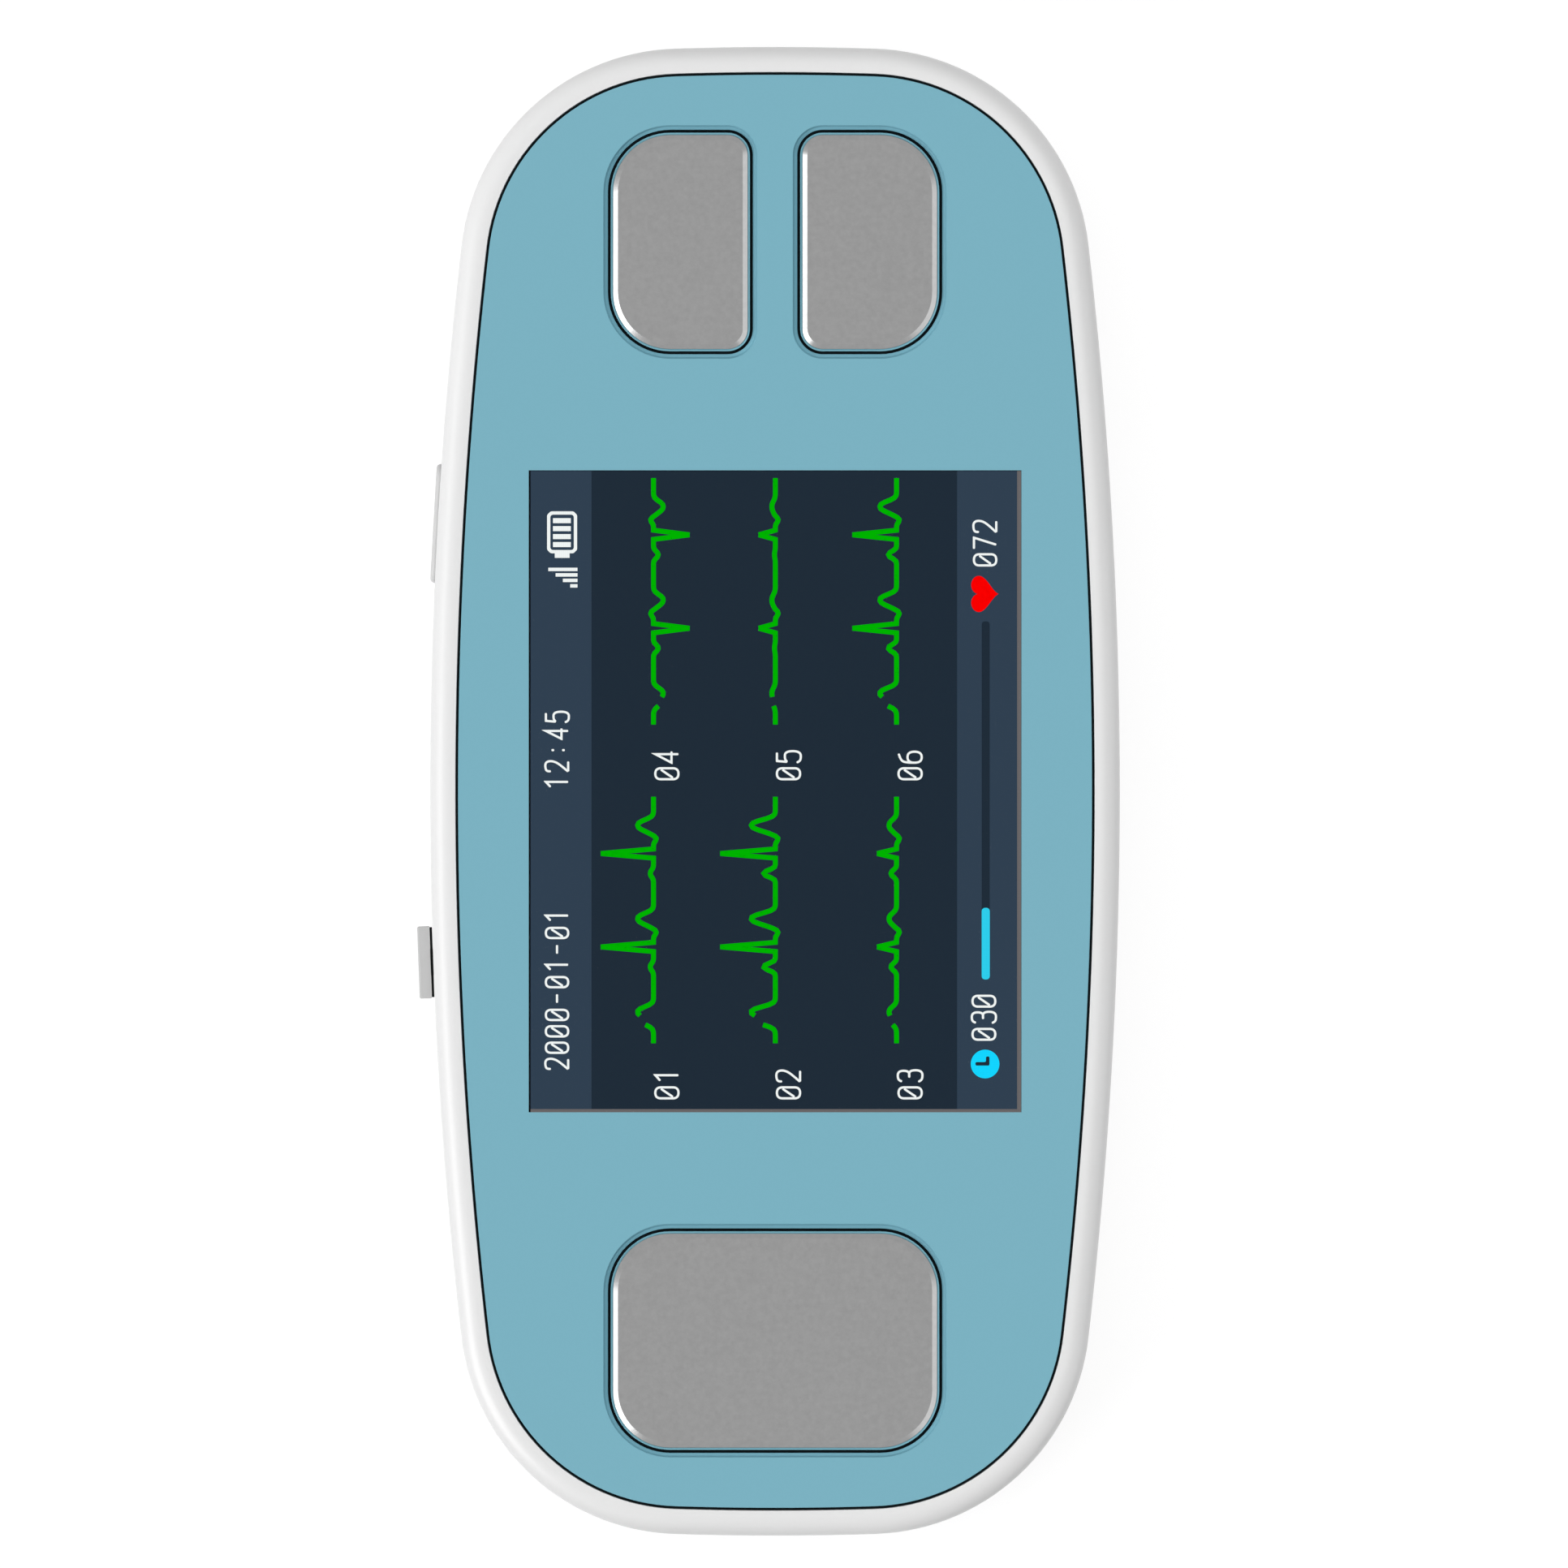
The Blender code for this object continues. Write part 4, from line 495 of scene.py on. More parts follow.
def grained(label, base, roughness, metallic, grain, shade, relief, sockets=(), drawn_out=(1, 1, 1)):
    """A material whose grain varies its colour, gloss and height."""
    made, tree, shader = new_material(label, base, {"Metallic": metallic, **dict(sockets)})
    position = node(tree, "ShaderNodeTexCoord").outputs["Object"]
    scale = [1 / (grain * MM * share) for share in drawn_out]
    grid = node(tree, "ShaderNodeMapping", {"Vector": position, "Scale": scale})
    speckle = node(
        tree, "ShaderNodeTexNoise", {"Vector": grid.outputs[0], "Scale": 1.0, "Detail": 3.0}
    ).outputs[0]
    dark = [channel * (1 - shade) for channel in base[:3]]
    light = [min(1.0, channel * (1 + shade)) for channel in base[:3]]
    tone = node(
        tree, "ShaderNodeMix", {0: speckle, 6: (*dark, 1), 7: (*light, 1)}, data_type="RGBA"
    )
    smooth, rough = roughness * (1 - GLOSS_SPREAD), roughness * (1 + GLOSS_SPREAD)
    gloss = node(tree, "ShaderNodeMapRange", {0: speckle, 3: smooth, 4: rough})
    bump = node(tree, "ShaderNodeBump", {"Height": speckle, "Distance": relief * MICRON})
    tree.links.new(tone.outputs[2], shader.inputs["Base Color"])
    tree.links.new(gloss.outputs[0], shader.inputs["Roughness"])
    tree.links.new(bump.outputs[0], shader.inputs["Normal"])
    return made


def lit_pixels(label, base):
    """Backlit liquid crystal glowing in a faint grid of square pixels; the edge strip uses it as
    painted light.
    """
    dull = {"Base Color": (0, 0, 0, 1), "Roughness": 0.6, "Specular IOR Level": 0.0}
    made, tree, shader = new_material(label, base, {"Emission Strength": PIXEL_GLOW, **dull})
    position = node(tree, "ShaderNodeTexCoord").outputs["Object"]
    line = [channel * PIXEL_LINE for channel in base[:3]]
    grid = node(
        tree,
        "ShaderNodeTexBrick",
        {
            "Vector": position, "Color1": base, "Color2": base, "Mortar": (*line, 1),
            "Scale": 1 / PIXEL_PITCH, "Mortar Size": PIXEL_GAP_SHARE, "Mortar Smooth": 0.2,
            "Brick Width": 1.0, "Row Height": 1.0,
        },
        offset=0.0,
        squash=1.0,
    )
    tree.links.new(grid.outputs[0], shader.inputs["Emission Color"])
    return made


def add_piece(name, bm, look, *stands_for, body="case", slot=None):
    """Makes a shape a piece with a finish, which rides on a body and stands for CAD nodes."""
    piece = hold(bm, name)
    piece.data.shade_smooth()
    piece.data.set_sharp_from_angle(angle=SMOOTH_ANGLE)
    piece.data.materials.append(finish(look))
    normals = piece.modifiers.new("level faces stay level", "WEIGHTED_NORMAL")
    normals.keep_sharp = True
    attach(piece, body)
    if stands_for:
        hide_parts(*stands_for)


# Display layout, in its own pixels: 320 along the case from the bottom end, 240 across it
PIXEL_PITCH = 0.153 * MM
ACROSS_PITCH = 0.1555 * MM
SCREEN_LENGTH = 320
SCREEN_WIDTH = 240
SCREEN_START = (-18.75 * MM, -24.38 * MM)
PIXEL_LINE = 0.86
PIXEL_GAP_SHARE = 0.05
PIXEL_GLOW = 1.06
LAYER = 0.015 * MM

# Digits as strokes in a cell 4 wide and 8 high. A "line" keeps its corners, a "curve"
# runs smoothly through the middles of its sides, and a "loop" is a closed curve
GLYPHS = {
    "0": [
        ("loop", [(0, 0), (4, 0), (4, 4), (4, 8), (0, 8), (0, 4)]),
        ("line", [(0.5, 1.9), (3.5, 6.1)]),
    ],
    "1": [("line", [(0.4, 6.3), (2.4, 8), (2.4, 0)])],
    "2": [
        ("curve", [(0.1, 6.2), (0.2, 8.1), (4, 8.3), (4.2, 4.6), (0, 0)]),
        ("line", [(0, 0), (4, 0)]),
    ],
    "3": [
        ("curve", [(0.1, 6.8), (0.8, 8.3), (4, 8.2), (4, 4.3), (1.5, 4.3)]),
        ("curve", [(1.5, 4.3), (4.2, 4.4), (4.2, -0.2), (0.8, -0.3), (0, 1.2)]),
    ],
    "4": [("line", [(3.1, 0), (3.1, 8), (0, 2.4), (4.1, 2.4)])],
    "5": [
        ("line", [(3.7, 8), (0.6, 8), (0.3, 4.4)]),
        ("curve", [(0.3, 4.4), (1.2, 5.3), (4.2, 5.2), (4.2, -0.2), (0.8, -0.3), (0, 1.2)]),
    ],
    "6": [
        ("loop", [(0, 0), (4, 0), (4, 4.9), (0, 4.9)]),
        ("curve", [(3.3, 8), (0.5, 7), (0, 4.6), (0, 2.4)]),
    ],
    "7": [("line", [(0, 8), (4, 8), (1.5, 0)])],
    ":": [("line", [(2, 1.2), (2, 2.2)]), ("line", [(2, 5.0), (2, 6.0)])],
    "-": [("line", [(0.3, 4), (3.7, 4)])],
}
CELL_WIDTH = 4
CELL_HEIGHT = 8
CURVE_ROUNDS = 3
CORNER_CUT = 0.25
# Words on the display: text, first pixel along it, its top row, cell size and pitch
WORDS = [
    ("2000-01-01", 20.0, 7.5, (5.1, 11.0), 8.22),
    ("12:45", 161.0, 7.5, (5.1, 11.0), 8.22),
    ("01", 5.4, 61.5, (5.5, 11.4), 8.3),
    ("02", 5.4, 121.5, (5.5, 11.4), 8.3),
    ("03", 5.4, 181.5, (5.5, 11.4), 8.3),
    ("04", 165.4, 61.5, (5.5, 11.4), 8.3),
    ("05", 165.4, 121.5, (5.5, 11.4), 8.3),
    ("06", 165.4, 181.5, (5.5, 11.4), 8.3),
    ("030", 34.8, 218.0, (5.4, 11.2), 8.3),
    ("072", 272.6, 218.7, (5.6, 11.0), 8.3),
]
# The battery's outline with its cut corners. Then by two corners each, what is filled: its cap,
# its charge, and four plain bars beside it
BATTERY_OUTLINE = [
    (280.8, 8.9), (297.6, 8.9), (298.9, 10.2), (298.9, 20.8),
    (297.6, 22.1), (280.8, 22.1), (279.5, 20.8), (279.5, 10.2),
]
BATTERY_STROKE = 0.25 * MM
FILLED_SIGNS = [
    ((276.4, 11.9), (278.8, 19.2)),
    *[((start, 11.0), (start + 2.5, 19.8)) for start in (281.8, 285.8, 289.8, 293.8)],
    *[((261.5 + 2.75 * bar, 19.5 - 3.6 * bar), (263.2 + 2.75 * bar, 23.1)) for bar in range(4)],
]
HEART = ((249.2, 217.3), (267.4, 231.0))
# Progress bar: where it starts, where its elapsed part ends and where it ends
PROGRESS = [(65.0, 224.5), (100.9, 224.5), (244.6, 224.5)]
PROGRESS_STROKE = 0.62 * MM
CLOCK_CENTRE = (22.6, 224.2)
CLOCK_RADIUS = 7.2
CLOCK_HANDS = [(22.7, 219.4), (22.7, 225.5), (26.4, 225.5)]
HANDS_STROKE = 0.27 * MM
# Rows where the upper bar ends and the lower bar starts. Then where the strip of painted light for the
# recess's lit walls starts past the image's end, and how far it reaches past its side
BAR_ROWS = (30, 210.4)
PAINTED_LIGHT_START = -1.7
PAINTED_LIGHT_REACH = 2.0
# Heart traces: row of the resting line, first pixel, and heights of the R, T and P waves. Each is
# drawn in two parts, given by their first and last pixel and by how far their waves lag
TRACES = [
    (60.6, 33.0, 26.0, 7.8, 1.6),
    (120.7, 33.0, 27.2, 11.8, 5.6),
    (180.5, 33.0, 9.6, 3.7, 2.7),
    (60.6, 192.8, -17.8, -4.8, -2.3),
    (120.7, 192.8, 8.2, 1.7, 0.4),
    (180.5, 192.8, 21.8, 8.2, 3.9),
]
TRACE_PARTS = ((0, 9.3, 3.2), (13.9, 123.6, 0))
TRACE_STEP = 1.1
# One beat, in pixels from its sharp peak: where its dip and its T and P waves stand, and how far
# each reaches to its two sides. Then the trace's first peak, and the distance to the next
SPIKE_REACH = 2.3
BLUNTNESS = 2.5
DIP = 1.4
DIP_LAG = 7.6
DIP_REACH = (1.9, 1.6)
T_LAG = 14.2
T_REACH = (3.7, 3.3)
P_LEAD = 10.0
P_REACH = (2.2, 2.2)
FIRST_PEAK = 48.3
BEAT = 46.85


def on_screen(along, across):
    """The place of a display pixel, seen from the front."""
    return (SCREEN_START[0] + across * ACROSS_PITCH, SCREEN_START[1] + along * PIXEL_PITCH)


def eased(points, closed):
    """A line with its corners cut round after round, so that it becomes a smooth curve."""
    for _ in range(CURVE_ROUNDS):
        following = points[1:] + points[:1] if closed else points[1:]
        rounder = []
        for start, end in zip(points, following):
            start, end = Vector(start), Vector(end)
            rounder += [tuple(start.lerp(end, share)) for share in (CORNER_CUT, 1 - CORNER_CUT)]
        points = rounder if closed else [points[0], *rounder[1:-1], points[-1]]
    return points


def word_lines(text, along, across, cell, pitch):
    """The strokes of a word on the display, each with whether it is closed."""
    lines = []
    for index, letter in enumerate(text):
        for kind, points in GLYPHS[letter]:
            closed = kind == "loop"
            if kind != "line":
                points = eased(points, closed)
            start = along + index * pitch
            wide, tall = cell[0] / CELL_WIDTH, cell[1] / CELL_HEIGHT
            placed = [on_screen(start + x * wide, across + (CELL_HEIGHT - y) * tall) for x, y in points]
            lines.append((placed, closed))
    return lines


def bell(distance, before, after):
    """A smooth wave of height 1 with a blunt top, and its own width on each side of it."""
    width = before if distance < 0 else after
    return math.exp(-abs(distance / width) ** BLUNTNESS)


def heart_wave(distance, r_height, t_height, p_height):
    """Height of one beat at a distance from its sharp peak, in pixels."""
    if r_height:
        sharp = max(0.0, 1 - abs(distance) / SPIKE_REACH) * r_height
        dip = -math.copysign(DIP, r_height) * bell(distance - DIP_LAG, *DIP_REACH)
    else:
        sharp = dip = 0.0
    t_wave = t_height * bell(distance - T_LAG, *T_REACH)
    p_wave = p_height * bell(distance + P_LEAD, *P_REACH)
    return sharp + dip + t_wave + p_wave


def trace_lines():
    """The six heart traces, each with the sweep's gap in it, and parted at each sharp peak."""
    lines = []
    peaks = [FIRST_PEAK, FIRST_PEAK + BEAT]
    clear = SPIKE_REACH + TRACE_STEP / 2
    for row, start, r_height, t_height, p_height in TRACES:
        for part_start, part_end, lag in TRACE_PARTS:
            count = round((part_end - part_start) / TRACE_STEP)
            step_length = (part_end - part_start) / count
            stops = [part_start + step_length * step for step in range(count + 1)]
            for peak in peaks:
                if part_start < peak < part_end:
                    stops = [stop for stop in stops if abs(stop - peak) > clear]
                    stops += [peak - SPIKE_REACH, peak, peak + SPIKE_REACH]
            line = []
            for stop in sorted(stops):
                height = heart_wave(stop + lag - FIRST_PEAK + BEAT, 0, t_height, p_height)
                for peak in peaks:
                    height += heart_wave(stop + lag - peak, r_height, t_height, p_height)
                line.append(on_screen(start + stop, row - height))
                if stop in peaks:
                    lines.append((line, False))
                    line = line[-1:]
            lines.append((line, False))
    return lines


def lift(bm, made, height):
    """Moves up what an extrusion made, and turns every face outwards."""
    verts = [item for item in made["geom"] if isinstance(item, bmesh.types.BMVert)]
    bmesh.ops.translate(bm, verts=verts, vec=(0, 0, height))
    bmesh.ops.recalc_face_normals(bm, faces=bm.faces[:])


def strokes(lines, width, low, high):
    """Flat ribbons along lines, with round ends and corners."""
    bm = bmesh.new()
    for points, closed in lines:
        verts = [bm.verts.new((x, y, low)) for x, y in points]
        pairs = list(zip(verts, verts[1:]))
        if closed:
            pairs.append((verts[-1], verts[0]))
        for pair in pairs:
            bm.edges.new(pair)
    lift(bm, bmesh.ops.extrude_edge_only(bm, edges=bm.edges[:]), high - low)
    holder = hold(bm)
    wall = holder.modifiers.new("width", "SOLIDIFY")
    wall.thickness = width
    wall.offset = 0
    wall.use_even_offset = True
    ribbon = release(holder)
    bmesh.ops.recalc_face_normals(ribbon, faces=ribbon.faces[:])
    turns = [
        edge for edge in ribbon.edges
        if abs(edge.verts[0].co.z - edge.verts[1].co.z) > (high - low) / 2
        and edge.is_manifold and edge.calc_face_angle() > STROKE_TURN
    ]
    bmesh.ops.bevel(
        ribbon, geom=turns, offset=width * STROKE_SOFT, offset_type="OFFSET", segments=SMALL_STEPS,
        profile=0.5, affect="EDGES", clamp_overlap=True, material=-1,
    )
    return ribbon


def drawn(pixels, closed, width, low, high):
    """A ribbon through display pixels."""
    return strokes([([on_screen(*pixel) for pixel in pixels], closed)], width, low, high)


def plate(start, end, low, high):
    """A flat plate between two display pixels."""
    return block((on_screen(*start), on_screen(*end)), low, high)


def disc(centre, radius, low, high):
    """A flat disc about a display pixel."""
    return rods([on_screen(*centre)], radius * PIXEL_PITCH, low, high)


# How finely the heart is divided, and where its formula has its lobes and its foot
HEART_STEPS = 48
HEART_TOP = 11.93
HEART_FOOT = -17.0


def heart_shape(start, end, low, high):
    """A filled heart between two display pixels, with its point towards the row's foot."""
    bm = bmesh.new()
    first, last = Vector(on_screen(*start)), Vector(on_screen(*end))
    middle, half = (first + last) / 2, (last - first) / 2
    verts = []
    for step in range(HEART_STEPS):
        turn = 2 * math.pi * step / HEART_STEPS
        side = math.sin(turn) ** 3
        up = 13 * math.cos(turn) - 5 * math.cos(2 * turn) - 2 * math.cos(3 * turn) - math.cos(4 * turn)
        down = (HEART_TOP - up) / (HEART_TOP - HEART_FOOT) * 2 - 1
        verts.append(bm.verts.new((middle.x + half.x * down, middle.y + half.y * side, low)))
    lift(bm, bmesh.ops.extrude_face_region(bm, geom=[bm.faces.new(verts)]), high - low)
    return bm


# Operators, one for each piece or group of like pieces

# How far a cutter runs past what it cuts, how deep joined shapes run into each other, and what
# keeps two faces from touching
OVERRUN = 1.0 * MM
BOND = 0.4 * MM
FACE_GAP = 0.01 * MM

# Endings of the names of like CAD nodes
FOUR = range(1, 5)
SIDES = ("left", "right")
PADS = ("upper_left", "upper_right", "lower")

# Screws, bosses and studs
BOSS_RADIUS = 2.3 * MM
POST_RADIUS = 2.6 * MM
STANDOFF_RADIUS = 2.0 * MM
CASE_SCREW_HOLE = 1.0 * MM
BOARD_SCREW_HOLE = 0.9 * MM
EAR_SCREW_HOLE = 0.8 * MM
HEAD_HOLE = 1.75 * MM
STUD_RADIUS = 1.2 * MM
STUD_HOLE = 1.5 * MM
STUD_FOOT = 0.5 * MM
SCREW_END = 9.5 * MM
STANDOFF_HOLE_END = 10.8 * MM

# Openings in the front shell
OPENING_BEVEL = 0.12 * MM
DISPLAY_GAP = 0.25 * MM
CONTROL_GAP = 0.15 * MM
BUTTON_SIZE = (9.13 * MM, 2.4 * MM)
BUTTON_HOLE_CORNER = 1.25 * MM
SLOT_CORNER = 0.2 * MM
SOCKET_CORNER = 0.7 * MM
SOCKET_MARGIN = 0.35 * MM
SLOT_REACH = 1.15 * MM
SLOT_HALF_HEIGHT = 0.8 * MM
KNOB_TRAVEL = 1.5 * MM
SOCKET_PLACE = Matrix.Translation((HALF_WIDTH, 0, BOARD_TOP_Z))

# Rear tray: battery ribs, and the recess of the rear plate
RIB_SIZE = (1 * MM, 6 * MM)
RIB_GAP = 0.8 * MM
RIB_INSET = 10 * MM
RIB_HEIGHT = 2 * MM
RIB_BEVEL = 0.2 * MM
REAR_PLATE_CORNER = 4 * MM
REAR_PLATE_BEVEL = 0.15 * MM
RECESS_TOP = 0.8 * MM
RECESS_GAP = 0.25 * MM
RECESS_EDGE = 0.2 * MM


def case_screw_places():
    """The middles of the four screws that hold the case together."""
    return places_of("case_screw", FOUR)


def front_stud_places():
    """The middles of the studs under the electrodes on the face."""
    return places_of("electrode", PADS)


def flared(corners, radius, turn, steps=PAD_STEPS):
    """A cutter through a side wall, with a small bevel at the wall's outer face."""
    levels = [
        (0, -sizes().wall - OVERRUN), (0, -OPENING_BEVEL), (-OPENING_BEVEL, 0),
        (-OPENING_BEVEL - OVERRUN / 2, OVERRUN / 2),
    ]
    return stack(corners, radius, levels, steps, turn @ ALONG_X)


def socket_corners(spread=0.0):
    """The charging socket's outline, with its height above the board."""
    low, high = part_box("usb_socket")
    return (low.y - spread, -spread), (high.y + spread, high.z - low.z + spread)


class MONITOR_OT_front_shell(bpy.types.Operator):
    """Adds the white front moulding with its round rim, deck, bosses and side openings"""

    bl_idname = "monitor.front_shell"
    bl_label = "Front shell"

    def execute(self, context):
        size = sizes()
        rebate = TONGUE_Z + size.seam_gap
        rim = quarter_round(0, size.rim_round, FACE_Z - size.rim_round, FACE_Z)
        inner = size.rim_width - size.rim_lip
        lip = quarter_round(size.rim_width, inner, FACE_Z - size.rim_lip, FACE_Z, LIP_STEPS)
        section = [
            (size.wall, DECK_Z), (size.wall, rebate), (size.skirt, rebate), (size.skirt, SEAM_Z),
            (size.seam_bevel, SEAM_Z), (0, SEAM_Z + size.seam_bevel), *rim, *reversed(lip[:-1]),
            (size.rim_width, GASKET_Z),
        ]
        screws, standoffs = case_screw_places(), places_of("board_screw", FOUR)
        bosses = gather(
            rods(screws, BOSS_RADIUS, BOARD_Z - BOND, DECK_Z + BOND),
            rods(standoffs, STANDOFF_RADIUS, BOARD_TOP_Z, DECK_Z + BOND),
        )
        ears = places_of("bracket_screw", SIDES)
        button, knob, socket = left_side("side_button"), left_side("power_knob"), SOCKET_PLACE
        slot = (-SLOT_REACH, -SLOT_HALF_HEIGHT), (SLOT_REACH + KNOB_TRAVEL, SLOT_HALF_HEIGHT)
        openings = gather(
            block(footprint("backlight", DISPLAY_GAP), DECK_Z - OVERRUN, GASKET_Z + OVERRUN),
            rods(screws, CASE_SCREW_HOLE, BOARD_Z - OVERRUN, SCREW_END),
            rods(standoffs, BOARD_SCREW_HOLE, BOARD_Z, STANDOFF_HOLE_END),
            rods(ears, EAR_SCREW_HOLE, DECK_Z - OVERRUN, GASKET_Z + OVERRUN),
            rods(front_stud_places(), STUD_HOLE, DECK_Z - OVERRUN, FACE_Z),
            flared(centred(*BUTTON_SIZE, spread=CONTROL_GAP), BUTTON_HOLE_CORNER, button),
            flared(slot, SLOT_CORNER, knob, SMALL_STEPS),
            flared(socket_corners(SOCKET_MARGIN), SOCKET_CORNER + SOCKET_MARGIN, socket),
        )
        shell = cut(join(sweep_case(section), bosses), openings)
        add_piece("front_shell_moulding", shell, "white_abs", "front_shell")
        return {"FINISHED"}


class MONITOR_OT_rear_shell(bpy.types.Operator):
    """Adds the white rear tray with its round edges, tongue, screw posts and battery ribs"""

    bl_idname = "monitor.rear_shell"
    bl_label = "Rear shell"

    def execute(self, context):
        size = sizes()
        round_top = REAR_Z + size.rear_round
        step = size.skirt + size.seam_gap
        section = [
            *reversed(quarter_round(0, size.rear_round, round_top, REAR_Z)),
            (0, SEAM_Z - size.seam_bevel), (size.seam_bevel, SEAM_Z), (step, SEAM_Z),
            (step, TONGUE_Z), (size.wall, TONGUE_Z),
            *quarter_round(size.wall, size.rear_round, round_top, FLOOR_Z),
        ]
        rib_top = FLOOR_Z + RIB_HEIGHT
        levels = [(0, FLOOR_Z - BOND), (0, rib_top), (RIB_BEVEL, rib_top + RIB_BEVEL)]
        low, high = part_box("battery_cell")
        ribs = [
            stack(centred(*RIB_SIZE, (x, y)), 0, levels)
            for x in (low.x - RIB_GAP, high.x + RIB_GAP)
            for y in (low.y + RIB_INSET, high.y - RIB_INSET)
        ]
        posts = rods(case_screw_places(), POST_RADIUS, FLOOR_Z - BOND, BOARD_Z - BOND)
        flare = RECESS_GAP + RECESS_EDGE
        levels = [
            (-flare, REAR_Z - OVERRUN), (-flare, REAR_Z), (-RECESS_GAP, REAR_Z + RECESS_EDGE),
            (-RECESS_GAP, RECESS_TOP),
        ]
        recess = stack(footprint("rear_electrode"), REAR_PLATE_CORNER, levels)
        stud_hole = rods([place_of("contact_pin_rear")], STUD_HOLE, STUD_FOOT, FLOOR_Z + OVERRUN)
        mouth = HEAD_HOLE + RECESS_EDGE
        profile = [
            (0, REAR_Z - OVERRUN), (mouth, REAR_Z - OVERRUN), (mouth, REAR_Z),
            (HEAD_HOLE, REAR_Z + RECESS_EDGE), (HEAD_HOLE, FLOOR_Z), (CASE_SCREW_HOLE, FLOOR_Z),
            (CASE_SCREW_HOLE, BOARD_Z + OVERRUN), (0, BOARD_Z + OVERRUN),
        ]
        heads = lathe(profile, case_screw_places())
        tray = cut(join(sweep_case(section), gather(posts, *ribs)), recess, stud_hole, heads)
        add_piece("rear_shell_moulding", tray, "white_abs", "rear_shell")
        return {"FINISHED"}


def electrode_outlines():
    """Each front electrode's name, opening and corner radii, left and right."""
    size = sizes()
    outer, inner = size.outer_radius, size.inner_radius
    radii = {"upper_left": (outer, inner), "upper_right": (inner, outer), "lower": (outer, outer)}
    return [
        (name, footprint(f"electrode_carrier_{name}", size.pad_gap), pair)
        for name, pair in radii.items()
    ]


# Front panel: its square window, its soft outer edge, the bend in the slope round its openings as
# shares of their width and depth, and the gasket's gap round the lens
WINDOW_SIZE = (37.8 * MM, 49.25 * MM)
PANEL_SOFT = 0.04 * MM
GROOVE_BEND = (0.6, 0.7)
LENS_GAP = 0.3 * MM


class MONITOR_OT_front_panel(bpy.types.Operator):
    """Adds the blue inlay with its grooved electrode openings, and the black gasket round it.

    The gasket's lips fill the gaps, and their black paints the shade there.
    """

    bl_idname = "monitor.front_panel"
    bl_label = "Front panel and gasket"

    def execute(self, context):
        size = sizes()
        edge = PANEL_INSET
        soft = quarter_round(edge, edge + PANEL_SOFT, FACE_Z - PANEL_SOFT, FACE_Z, LIP_STEPS)
        width, depth = size.groove_width, size.groove_depth
        bend = (-width * GROOVE_BEND[0], FACE_Z - depth * GROOVE_BEND[1])
        levels = [
            (0, PANEL_Z - OVERRUN), (0, FACE_Z - depth), bend, (-width, FACE_Z),
            (-width, FACE_Z + OVERRUN),
        ]
        openings = [stack(corners, radii, levels) for _, corners, radii in electrode_outlines()]
        openings.append(block(centred(*WINDOW_SIZE), PANEL_Z - OVERRUN, FACE_Z + OVERRUN))
        panel = cut(sweep_case([(edge, PANEL_Z), *soft]), gather(*openings))
        add_piece("front_panel_inlay", panel, "blue_abs", "front_panel")

        gap, lip, top = size.lip_clearance, FACE_Z - size.lip_drop, FACE_Z - size.ring_drop
        outer, inner = size.rim_width + gap, PANEL_INSET - gap
        gasket = sweep_case([(outer, GASKET_Z), (outer, lip), (inner, lip), (inner, PANEL_Z)])
        root = (GASKET_Z + PANEL_Z) / 2
        rings, bores = [], []
        for _, corners, radii in electrode_outlines():
            bore = size.pad_gap - gap
            rings.append(stack(corners, radii, [(gap, root), (gap, top)]))
            bores.append(stack(corners, radii, [(bore, PANEL_Z), (bore, FACE_Z)]))
        holes = gather(
            block(footprint("display_lens", LENS_GAP), GASKET_Z - OVERRUN, PANEL_Z + OVERRUN),
            rods(front_stud_places(), STUD_HOLE, GASKET_Z - OVERRUN, PANEL_Z - FACE_GAP),
        )
        gasket = cut(join(gasket, gather(*rings)), gather(*bores), holes)
        add_piece("panel_gasket_moulding", gasket, "black_silicone", "panel_gasket")
        return {"FINISHED"}


# Electrodes: how high the plates sit in their carriers, and the carriers' bevel
SEAT_HEIGHT = 0.7 * MM
CARRIER_BEVEL = 0.03 * MM


class MONITOR_OT_electrodes(bpy.types.Operator):
    """Adds the blasted steel electrodes and the blue carriers of those on the face"""

    bl_idname = "monitor.electrodes"
    bl_label = "Electrodes"

    def execute(self, context):
        size = sizes()
        seat = PANEL_Z + SEAT_HEIGHT
        gap, ring = size.pad_gap, size.pad_gap + size.pad_ring
        edge = ring + size.plate_gap
        carrier_levels = [
            (gap, PANEL_Z), (gap, CARRIER_TOP_Z - CARRIER_BEVEL),
            (gap + CARRIER_BEVEL, CARRIER_TOP_Z), (ring, CARRIER_TOP_Z - size.ring_fall), (ring, seat),
        ]
        plate_levels = [
            (edge, seat), (edge, PLATE_TOP_Z - size.bevel_height),
            (edge + size.plate_bevel, PLATE_TOP_Z - 2 * HAIR),
        ]
        for name, corners, radii in electrode_outlines():
            place = [place_of(f"electrode_{name}")]
            hole = rods(place, STUD_HOLE, PANEL_Z - OVERRUN, FACE_Z)
            carrier = cut(stack(corners, radii, carrier_levels), hole)
            add_piece(f"carrier_{name}", carrier, "blue_abs", f"electrode_carrier_{name}")
            stud = rods(place, STUD_RADIUS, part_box(f"electrode_{name}")[0].z, seat + BOND)
            steel = join(stack(corners, radii, plate_levels), stud)
            add_piece(f"plate_{name}", steel, "blasted_steel", f"electrode_{name}")
        levels = [(REAR_PLATE_BEVEL, 0), (0, REAR_PLATE_BEVEL), (0, RECESS_TOP)]
        steel = stack(footprint("rear_electrode"), REAR_PLATE_CORNER, levels)
        stud_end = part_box("rear_electrode")[1].z
        stud = rods([place_of("contact_pin_rear")], STUD_RADIUS, STUD_FOOT, stud_end)
        add_piece("plate_rear", join(steel, stud), "blasted_steel", "rear_electrode")
        return {"FINISHED"}
